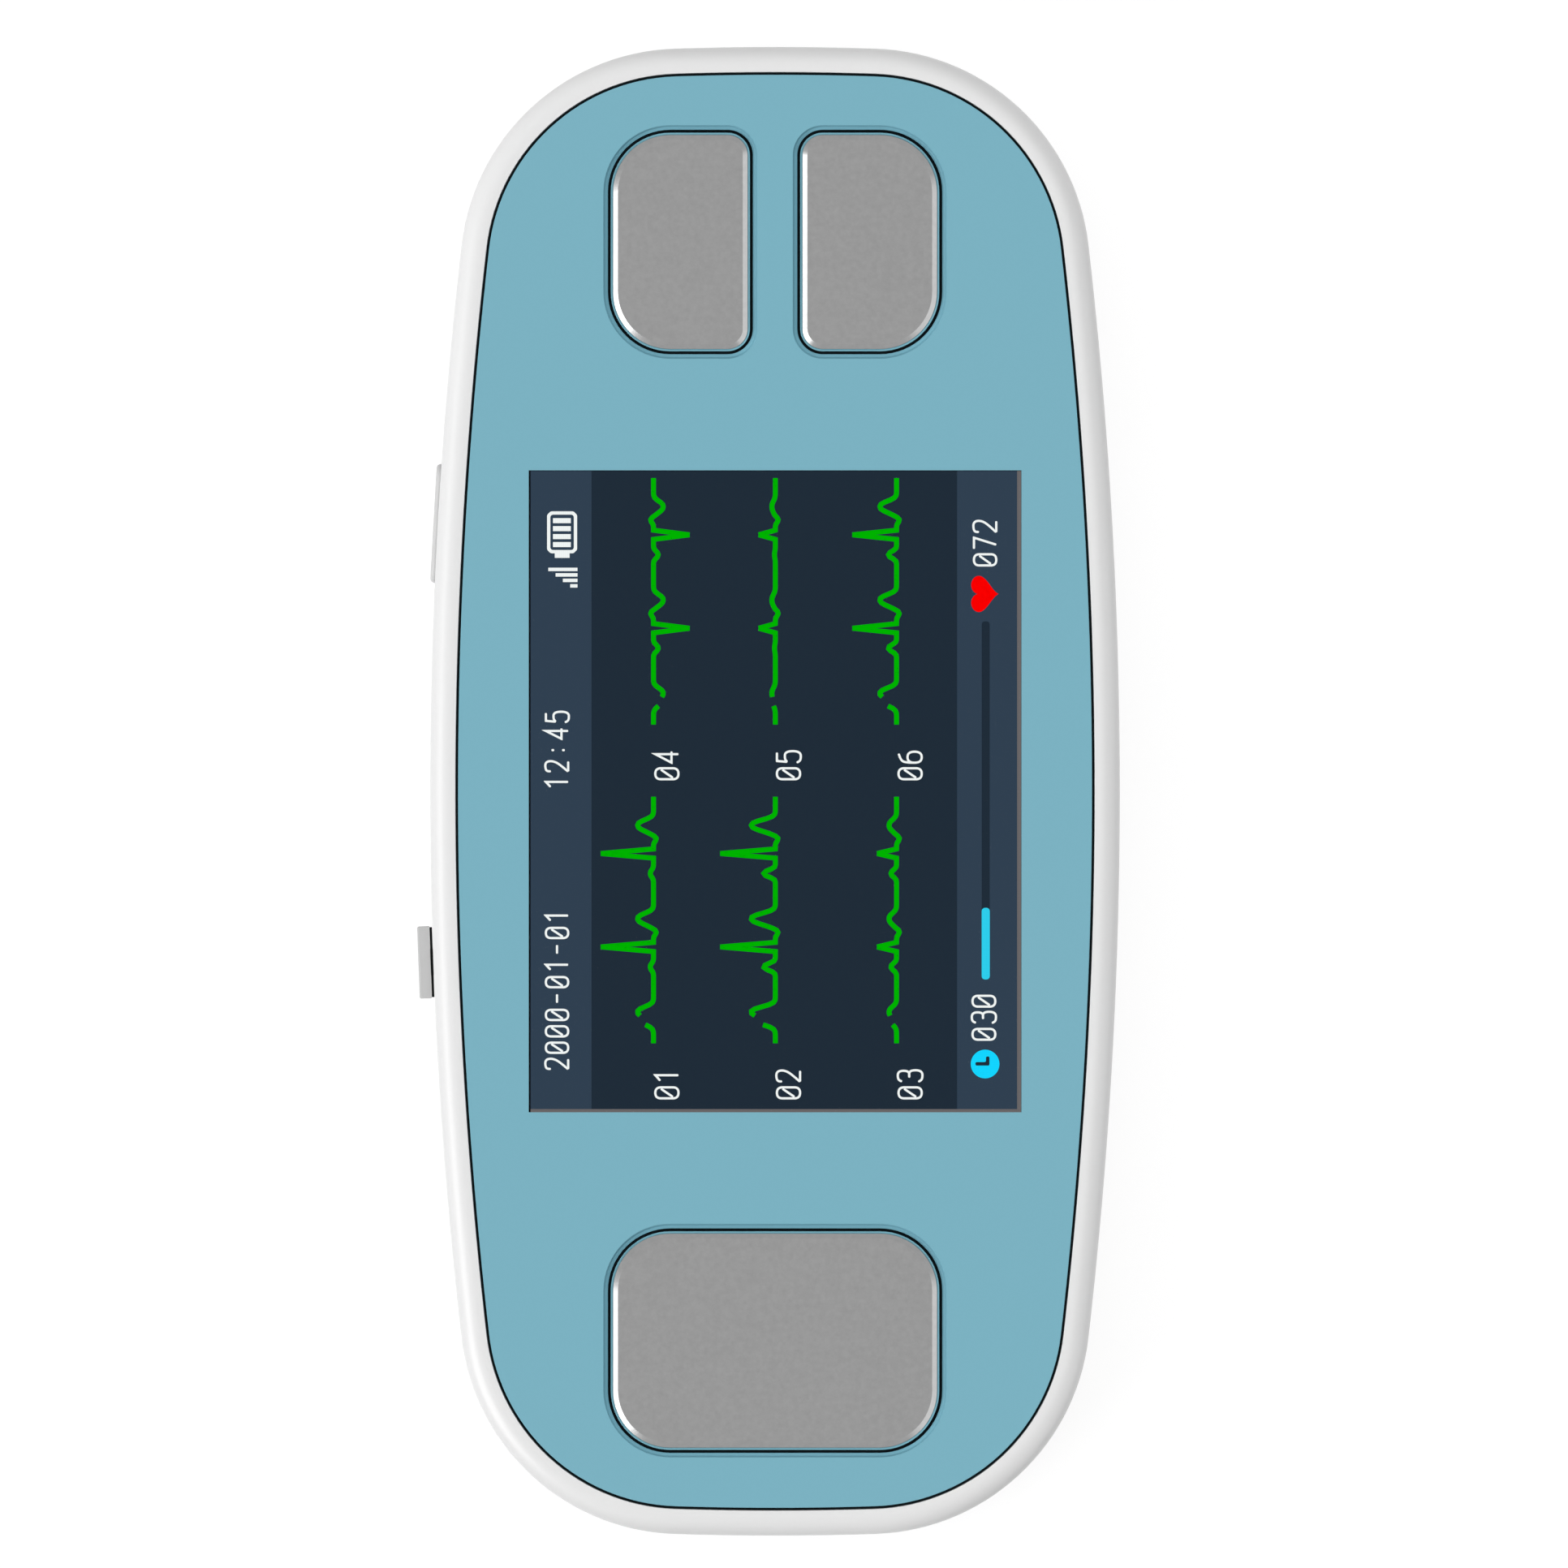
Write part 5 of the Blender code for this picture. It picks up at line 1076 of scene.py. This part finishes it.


# Display: the lens with its flange behind the panel, and the black border round the image, which also
# paints the shade at the window's other two edges
LENS_FLANGE = 1.5 * MM
LENS_CLEARANCE = 0.06 * MM
LENS_BEVEL = 0.06 * MM
BORDER_REACH = 0.2 * MM


class MONITOR_OT_display(bpy.types.Operator):
    """Adds the clear window, the lit image under it, and a glowing strip of painted light beside it"""

    bl_idname = "monitor.display"
    bl_label = "Display"

    def execute(self, context):
        size = sizes()
        inset = LENS_FLANGE + LENS_CLEARANCE
        levels = [
            (0, LENS_Z), (0, PANEL_Z), (inset, PANEL_Z), (inset, LENS_TOP_Z - LENS_BEVEL),
            (inset + LENS_BEVEL, LENS_TOP_Z),
        ]
        lens = stack(footprint("display_lens"), 0, levels)
        add_piece("window_lens", lens, "clear_acrylic", "display_lens")

        base, first, second, third, fourth, fifth = (GLASS_TOP_Z + LAYER * n for n in range(6))
        # The black border shows only at two edges of the window, where it also paints the shade of the
        # recess
        border = block(centred(*WINDOW_SIZE, spread=BORDER_REACH), base, first)
        add_piece("screen_border", border, "black_silicone", slot="black_foam")
        last, upper, lower = SCREEN_LENGTH, *BAR_ROWS
        # A glowing strip past the image's end and side: painted light where the recess's walls catch
        # the lamps
        edge = plate((PAINTED_LIGHT_START, 0), (last, SCREEN_WIDTH + PAINTED_LIGHT_REACH), first, second)
        bars = gather(
            plate((0, 0), (last, upper), second, third),
            plate((0, lower), (last, SCREEN_WIDTH), second, third),
        )
        field = plate((0, upper), (last, lower), second, third)
        traces = strokes(trace_lines(), size.trace_stroke, third, fourth)
        lines = [line for word in WORDS for line in word_lines(*word)]
        start, now, end = PROGRESS
        text = gather(
            strokes(lines, size.text_stroke, third, fourth),
            drawn(BATTERY_OUTLINE, True, BATTERY_STROKE, third, fourth),
            *[plate(*corners, third, fourth) for corners in FILLED_SIGNS],
        )
        track = drawn([start, end], False, PROGRESS_STROKE, third, fourth)
        done = drawn([start, now], False, PROGRESS_STROKE, fourth, fifth)
        hands = drawn(CLOCK_HANDS, False, HANDS_STROKE, fourth, fifth)
        add_piece("screen_frame_edge", edge, "screen_edge")
        add_piece("screen_status_bars", bars, "screen_bar")
        add_piece("screen_trace_field", field, "screen_field")
        add_piece("screen_traces", traces, "screen_green")
        add_piece("screen_text_and_signs", text, "screen_white")
        add_piece("screen_heart", heart_shape(*HEART, third, fourth), "screen_red")
        add_piece("screen_progress_track", track, "screen_field")
        add_piece("screen_progress_done", done, "screen_blue")
        add_piece("screen_clock", disc(CLOCK_CENTRE, CLOCK_RADIUS, third, fourth), "screen_cyan")
        add_piece("screen_clock_hands", hands, "screen_field")
        return {"FINISHED"}


# Side controls, from the wall's outer face
BACK_GAP = 0.15 * MM
BUTTON_PROUD = 0.33 * MM
BUTTON_CORNER = 1.1 * MM
BUTTON_STEPS = 6
BUTTON_FLANGE = 0.5 * MM
FLANGE_REACH = 0.4 * MM
NUB_SIZE = (2.0 * MM, 1.2 * MM)
NUB_CORNER = 0.3 * MM
NUB_LENGTH = 0.35 * MM
KNOB_SIZE = (5.54 * MM, 2.6 * MM)
KNOB_CORNER = 0.12 * MM
KNOB_GAP = 0.22 * MM
KNOB_PROUD = 1.145 * MM
NECK_SIZE = (2.0 * MM, 1.3 * MM)
KNOB_FLANGE = 0.7 * MM
KNOB_FLANGE_SIZE = (4.6 * MM, 2.2 * MM)
LEVER_ROOM = 0.1 * MM
SHIELD_SIZE = (5.38 * MM, 2.44 * MM)
SHIELD_CORNER = 0.1 * MM
SHIELD_OPENING = (2.1 * MM, 1.4 * MM)


class MONITOR_OT_side_controls(bpy.types.Operator):
    """Adds the long push button, greyed by painted shade, and the grey power knob.

    Under the knob's cap sits a black shield whose black paints the shade in the gap.
    """

    bl_idname = "monitor.side_controls"
    bl_label = "Side controls"

    def execute(self, context):
        size = sizes()
        back = -size.wall - BACK_GAP
        foot, soft = back - BUTTON_FLANGE, size.button_round
        turn = left_side("side_button") @ ALONG_X
        levels = [
            (-FLANGE_REACH, foot), (-FLANGE_REACH, back), (0, back),
            *quarter_round(0, soft, BUTTON_PROUD - soft, BUTTON_PROUD, BUTTON_STEPS),
        ]
        button = stack(centred(*BUTTON_SIZE), BUTTON_CORNER, levels, PAD_STEPS, turn)
        nub = block(centred(*NUB_SIZE), foot - NUB_LENGTH, foot + BOND / 2, NUB_CORNER, turn)
        add_piece("push_button", join(button, nub), "button_abs", "side_button", body="side_button")

        foot, soft = back - KNOB_FLANGE, size.knob_round
        turn = left_side("power_knob") @ ALONG_X
        levels = [
            (0, KNOB_GAP), *quarter_round(0, soft, KNOB_PROUD - soft, KNOB_PROUD, SMALL_STEPS)
        ]
        cap = stack(centred(*KNOB_SIZE), KNOB_CORNER, levels, SMALL_STEPS, turn)
        neck = block(centred(*NECK_SIZE), foot, KNOB_GAP + BOND, turn=turn)
        flange = block(centred(*KNOB_FLANGE_SIZE), foot, back, turn=turn)
        low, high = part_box("slide_switch_lever")
        room = LEVER_ROOM
        corners = (low.x - room, low.y - room), (high.x + OVERRUN, high.y + room)
        pocket = block(corners, low.z - room, high.z + room)
        knob = cut(join(cap, neck, flange), pocket)
        add_piece("power_knob_cap", knob, "grey_abs", "power_knob", body="power_knob")
        # The black shield fills the gap under the cap, and its black paints the shade of that gap
        top = KNOB_GAP - FACE_GAP
        shield = block(centred(*SHIELD_SIZE), FACE_GAP, top, SHIELD_CORNER, turn)
        shield = cut(shield, block(centred(*SHIELD_OPENING), -OVERRUN, OVERRUN, turn=turn))
        add_piece(
            "power_knob_dust_shield", shield, "black_acetal", "power_knob_shield", body="power_knob"
        )
        return {"FINISHED"}


# Charging socket, from its mouth inwards
SHEET = 0.3 * MM
SHEET_BEVEL = 0.08 * MM
MOUTH_FALLS = (0.05 * MM, 0.12 * MM)
SOCKET_FLOOR = 0.8 * MM
TONGUE_SIZE = (4.0 * MM, 0.6 * MM)
TONGUE_DEPTH = 0.9 * MM
TONGUE_BEVEL = 0.1 * MM
CONTACT_SIZE = (0.4 * MM, 0.04 * MM)
CONTACT_PITCH = 0.65 * MM
CONTACT_DROP = 0.32 * MM
CONTACT_ENDS = (0.2 * MM, 0.25 * MM)


class MONITOR_OT_charging_socket(bpy.types.Operator):
    """Adds the charging socket: a tin-plated shell round a tongue with gold contacts"""

    bl_idname = "monitor.charging_socket"
    bl_label = "Charging socket"

    def execute(self, context):
        low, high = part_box("usb_socket")
        mouth, back = high.x - HALF_WIDTH, low.x - HALF_WIDTH
        floor = back + SOCKET_FLOOR
        levels = [
            (0, back), (0, mouth - MOUTH_FALLS[0]), (SHEET_BEVEL, mouth),
            (SHEET - SHEET_BEVEL, mouth), (SHEET, mouth - MOUTH_FALLS[1]), (SHEET, floor),
        ]
        turn = SOCKET_PLACE @ ALONG_X
        shell = stack(socket_corners(), SOCKET_CORNER, levels, PAD_STEPS, turn)
        add_piece("charging_socket_shell", shell, "tin_plate", "usb_socket")
        middle = (high.z - low.z) / 2
        end = mouth - TONGUE_DEPTH
        levels = [(0, floor), (0, end - TONGUE_BEVEL), (TONGUE_BEVEL, end)]
        corners = centred(*TONGUE_SIZE, (0, middle))
        tongue = stack(corners, TONGUE_BEVEL, levels, SMALL_STEPS, turn)
        add_piece("charging_socket_tongue", tongue, "black_acetal")
        start, end = floor + CONTACT_ENDS[0], end - CONTACT_ENDS[1]
        places = [(index * CONTACT_PITCH, middle - CONTACT_DROP) for index in range(-2, 3)]
        contacts = [block(centred(*CONTACT_SIZE, place), start, end, turn=turn) for place in places]
        add_piece("charging_contacts", gather(*contacts), "gold_plate")
        return {"FINISHED"}


# Screws: names, endings, radius of the head and of the shank, and height of the head
SCREWS = (
    ("case_screw", FOUR, 1.5 * MM, 0.8 * MM, 1.0 * MM),
    ("board_screw", FOUR, 1.3 * MM, 0.7 * MM, 0.6 * MM),
    ("bracket_screw", SIDES, 1.0 * MM, 0.6 * MM, 0.6 * MM),
)
THREAD_PITCH = 0.35 * MM
THREAD_GROOVE = 0.17 * MM
POINT_HEIGHT = 0.3 * MM
# Shares of the shank's radius, of the head's height or radius, and of a pin's length
THREAD_CORE = 0.82
POINT_CORE = 0.7
HEAD_SOFT = 0.45
CROSS_DEPTH = 0.55
CROSS_WIDTH = 0.22
CROSS_ARM = 1.15
PIN_SHOULDER = 0.66
# Contact pins: radii from the tip down to the foot, and heights of what is round or bevelled
PIN_TIP, PIN_PLUNGER, PIN_MOUTH, PIN_BARREL, PIN_FOOT = (
    radius * MM for radius in (0.35, 0.55, 0.75, 1.0, 1.3)
)
TIP_FALL = 0.06 * MM
TIP_HEIGHT = 0.3 * MM
MOUTH_HEIGHT = 0.2 * MM
FOOT_HEIGHT = 0.4 * MM
FOOT_BEVEL = 0.1 * MM


def screw_profile(low, high, head, shank, head_height):
    """Radii and heights of a screw: its point, its thread and its rounded head below."""
    thread, seat, soft = high - POINT_HEIGHT, low + head_height, head_height * HEAD_SOFT
    profile = [(0, high), (shank * POINT_CORE, high), (shank, thread)]
    while thread - THREAD_PITCH > seat + POINT_HEIGHT:
        profile += [(shank * THREAD_CORE, thread - THREAD_GROOVE), (shank, thread - THREAD_PITCH)]
        thread -= THREAD_PITCH
    profile += [(shank, seat), (head, seat)]
    return [*profile, *quarter_round(head, head - soft, low + soft, low, SMALL_STEPS), (0, low)]


def cross_cutters(places, foot, head, head_height):
    """Two sets of cutters, one for each bar of the cross in each screw's head."""
    width, arm, depth = head * CROSS_WIDTH, head * CROSS_ARM, head_height * CROSS_DEPTH
    return [
        gather(*[block(centred(*bar, place), foot - depth, foot + depth) for place in places])
        for bar in ((arm, width), (width, arm))
    ]


def pin_profile(reach):
    """Radii and heights of a spring pin: its round tip, plunger, barrel and foot."""
    shoulder = reach * PIN_SHOULDER
    return [
        (0, reach), (PIN_TIP, reach - TIP_FALL), (PIN_PLUNGER, reach - TIP_HEIGHT),
        (PIN_PLUNGER, shoulder), (PIN_MOUTH, shoulder), (PIN_BARREL, shoulder - MOUTH_HEIGHT),
        (PIN_BARREL, FOOT_HEIGHT + FOOT_BEVEL), (PIN_FOOT, FOOT_HEIGHT), (PIN_FOOT, 0), (0, 0),
    ]


class MONITOR_OT_fasteners(bpy.types.Operator):
    """Adds the zinc-plated screws with cross recesses, and the gold-plated contact pins"""

    bl_idname = "monitor.fasteners"
    bl_label = "Screws and contact pins"

    def execute(self, context):
        for group, endings, head, shank, head_height in SCREWS:
            nodes = [f"{group}_{ending}" for ending in endings]
            places = places_of(group, endings)
            low, high = (corner.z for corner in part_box(nodes[0]))
            screws = lathe(screw_profile(low, high, head, shank, head_height), places)
            screws = cut(screws, *cross_cutters(places, low, head, head_height))
            add_piece(f"{group}_set", screws, "zinc_steel", *nodes)
        for name in (*PADS, "rear"):
            pin_node = f"contact_pin_{name}"
            low, high = (corner.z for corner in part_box(pin_node))
            foot, turn = (high, UPSIDE_DOWN) if name == "rear" else (low, UPRIGHT)
            pin = lathe(pin_profile(high - low), [place_of(pin_node)], foot, turn)
            add_piece(f"spring_pin_{name}", pin, "gold_plate", pin_node)
        return {"FINISHED"}


# Finishes of the pieces inside that keep their CAD shape: the CAD nodes that wear it, its hex
# colour, then the same values as those of the finishes above
INSIDE_FINISHES = {
    # Woven glass laminate under solder mask: glossy green with a faint weave
    "solder_mask_green": (
        ["main_board", "battery_guard_board"], "1A6B3C", 0.3, 0.0, 0.5, 0.12, 1.5, {"Coat Weight": 0.3}
    ),
    # Moulded epoxy: dull black with a fine grit
    "moulded_epoxy": (
        ["processor_chip", "memory_chip", "ecg_amplifier_chip", "power_chip", "buzzer"],
        "1B1C1D", 0.6, 0.0, 0.12, 0.12, 2.0,
    ),
    # Pressed ferrite: dark warm grey with a coarse, dry grain
    "pressed_ferrite": (["power_inductor"], "2E2B2A", 0.75, 0.0, 0.25, 0.2, 4.0),
    # Acetal of the switches' moving parts: slippery black
    "switch_acetal": (
        ["tactile_plunger", "slide_switch_lever"], "17181A", 0.5, 0.0, 0.3, 0.06, 0.5
    ),
    # Stamped stainless sheet: bright, with faint rolling lines
    "rolled_steel": (
        ["display_bracket", "radio_module", "clock_crystal", "tactile_switch", "slide_switch"],
        "B7B9BC", 0.32, 1.0, 0.15, 0.06, 0.6, {}, (1, 10, 1),
    ),
    # Polyimide film with copper under it: amber with long fine tracks
    "polyimide_film": (
        ["display_flex"], "B5702A", 0.35, 0.0, 0.5, 0.18, 0.5, {"Coat Weight": 0.2}, (1, 40, 40)
    ),
    # Moulded nylon: creamy and slightly waxy
    "moulded_nylon": (
        ["flex_socket", "battery_plug", "battery_socket"],
        "DDD6C3", 0.5, 0.0, 0.3, 0.03, 0.8, {"Subsurface Weight": 0.05},
    ),
    # Polished display glass: deep blue-black with a smooth shine
    "display_glass": (["lcd_glass"], "16202B", 0.08, 0.0, 2.0, 0.04, 0.05, {"IOR": 1.52}),
    # Moulded polycarbonate diffuser: even milky white
    "milky_diffuser": (["backlight"], "E8E8E4", 0.5, 0.0, 0.6, 0.02, 0.5),
    # Closed-cell foam: black, matt and finely pitted
    "closed_cell_foam": (
        ["display_foam"], "1E1F20", 0.95, 0.0, 0.2, 0.25, 12.0, {"Specular IOR Level": 0.2}
    ),
    # Laminated aluminium pouch: soft silver with shallow dents
    "pouch_foil": (["battery_cell"], "B9BDC2", 0.3, 0.8, 3.0, 0.06, 25.0),
    # Foam tape: white and papery
    "foam_tape": (["battery_pad"], "E3E3DD", 0.85, 0.0, 0.3, 0.04, 3.0),
    # Silicone wire insulation: soft red with a low sheen
    "red_insulation": (["battery_wire_red"], "B3261E", 0.5, 0.0, 0.4, 0.05, 1.0),
    # Silicone wire insulation: soft black with a low sheen
    "black_insulation": (["battery_wire_black"], "18191A", 0.5, 0.0, 0.4, 0.08, 1.0),
}


class MONITOR_OT_inside(bpy.types.Operator):
    """Gives the pieces inside the case, which keep their CAD shape, their finishes"""

    bl_idname = "monitor.inside"
    bl_label = "Pieces inside"

    def execute(self, context):
        for name, (nodes, hex_colour, *values) in INSIDE_FINISHES.items():
            material = grained(name, linear(hex_colour), *values)
            for node_name in nodes:
                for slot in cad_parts[node_name].material_slots:
                    slot.material = material
        return {"FINISHED"}


# The studio: the photograph is square, taken straight down, and 120.3 mm across
VIEW_WIDTH = 120.29 * MM
VIEW_CENTRE = (0.685 * MM, 0.56 * MM)
CAMERA_HEIGHT = 0.5
CAMERA_CLIPS = (0.01, 10)
FLOOR_REACH = 3.0
AMBIENT = 0.11
# The floor's paper: its own tone, the tone in which the camera sees it, and its glow there
PAPER_TONE = "D0D0D0"
SEEN_TONE = "858585"
PAPER_GLOW = 0.84
# Lamps: name, strength, angle from straight above, angle round from +X, softness, and whether
# polished surfaces mirror it
LAMPS = [
    ("key_light", 2.1, math.radians(62), math.radians(-158), math.radians(44), True),
    ("top_light", 1.65, math.radians(24), math.radians(90), math.radians(70), False),
    ("side_light", 0.75, math.radians(69), math.radians(-20), math.radians(60), True),
]


class MONITOR_OT_stage(bpy.types.Operator):
    """Adds the white floor, the plain studio light and a camera straight above the monitor"""

    bl_idname = "monitor.stage"
    bl_label = "Stage"

    def execute(self, context):
        scene = context.scene
        scene.view_settings.view_transform = "Standard"
        self.add_floor()
        self.add_light(scene)
        camera = bpy.data.cameras.new("camera")
        camera.type = "ORTHO"
        camera.ortho_scale = VIEW_WIDTH
        camera.clip_start, camera.clip_end = CAMERA_CLIPS
        scene.camera = add_object("camera", camera)
        scene.camera.location = (*VIEW_CENTRE, CAMERA_HEIGHT)
        return {"FINISHED"}

    def add_floor(self):
        """A wide floor that looks white, and still takes the monitor's soft shadow."""
        bm = bmesh.new()
        bmesh.ops.create_grid(bm, x_segments=1, y_segments=1, size=FLOOR_REACH)
        floor = hold(bm, "floor")
        # White studio paper: what the camera sees of it glows a little, so that it stays white
        tone = linear(PAPER_TONE)
        matt = {"Base Color": tone, "Roughness": 0.9, "Specular IOR Level": 0.0}
        paper, tree, shader = new_material("studio_paper", tone, matt)
        glow = node(tree, "ShaderNodeEmission", {"Color": (1, 1, 1, 1), "Strength": PAPER_GLOW})
        sheet = node(tree, "ShaderNodeBsdfDiffuse", {"Color": linear(SEEN_TONE)})
        seen = node(tree, "ShaderNodeAddShader", {0: glow.outputs[0], 1: sheet.outputs[0]})
        shaders = {0: self.seen_rays(tree), 1: shader.outputs[0], 2: seen.outputs[0]}
        mix = node(tree, "ShaderNodeMixShader", shaders)
        tree.links.new(mix.outputs[0], tree.nodes["Material Output"].inputs["Surface"])
        floor.data.materials.append(paper)

    def seen_rays(self, tree):
        """1 for rays from the camera, and for those mirrored or seen through glass."""
        path = node(tree, "ShaderNodeLightPath")
        seen = path.outputs["Is Camera Ray"]
        for kind in ("Is Glossy Ray", "Is Transmission Ray"):
            sockets = {0: seen, 1: path.outputs[kind]}
            seen = node(tree, "ShaderNodeMath", sockets, operation="ADD", use_clamp=True).outputs[0]
        return seen

    def add_light(self, scene):
        """Weak even light all round, a key from the left, a broad lamp above and a side lamp."""
        world = bpy.data.worlds.new("studio")
        world.use_nodes = True
        tree = world.node_tree
        strength = node(tree, "ShaderNodeMapRange", {0: self.seen_rays(tree), 3: AMBIENT, 4: 1.0})
        background = tree.nodes["Background"]
        background.inputs["Color"].default_value = (1, 1, 1, 1)
        tree.links.new(strength.outputs[0], background.inputs["Strength"])
        scene.world = world
        for name, power, tilt, turn, spread, mirrored in LAMPS:
            lamp = bpy.data.lights.new(name, "SUN")
            lamp.energy = power
            lamp.angle = spread
            holder = add_object(name, lamp)
            holder.rotation_euler = (0, tilt, turn)
            holder.visible_glossy = mirrored


PIECES = (
    MONITOR_OT_front_shell,
    MONITOR_OT_rear_shell,
    MONITOR_OT_front_panel,
    MONITOR_OT_electrodes,
    MONITOR_OT_display,
    MONITOR_OT_side_controls,
    MONITOR_OT_charging_socket,
    MONITOR_OT_fasteners,
    MONITOR_OT_inside,
    MONITOR_OT_stage,
)


class MONITOR_PT_sidebar(bpy.types.Panel):
    """Lists the pieces, sizes and colours of the monitor"""

    bl_label = "ECG monitor"
    bl_space_type = "VIEW_3D"
    bl_region_type = "UI"
    bl_category = "ECG monitor"

    def draw(self, context):
        for piece in PIECES:
            self.layout.operator(piece.bl_idname)
        for group in (context.scene.monitor_sizes, context.scene.monitor_colours):
            box = self.layout.box()
            for name in group.__annotations__:
                box.prop(group, name)


def register():
    """Adds the classes, and their settings to each scene."""
    for item in (MonitorSizes, MonitorColours, *PIECES, MONITOR_PT_sidebar):
        bpy.utils.register_class(item)
    bpy.types.Scene.monitor_sizes = PointerProperty(type=MonitorSizes)
    bpy.types.Scene.monitor_colours = PointerProperty(type=MonitorColours)


def unregister():
    """Takes the settings and the classes away again."""
    del bpy.types.Scene.monitor_colours
    del bpy.types.Scene.monitor_sizes
    for item in reversed((MonitorSizes, MonitorColours, *PIECES, MONITOR_PT_sidebar)):
        bpy.utils.unregister_class(item)


def main():
    """Builds everything in order."""
    register()
    for piece in PIECES:
        group, name = piece.bl_idname.split(".")
        getattr(getattr(bpy.ops, group), name)()


if __name__ == "__main__":
    main()
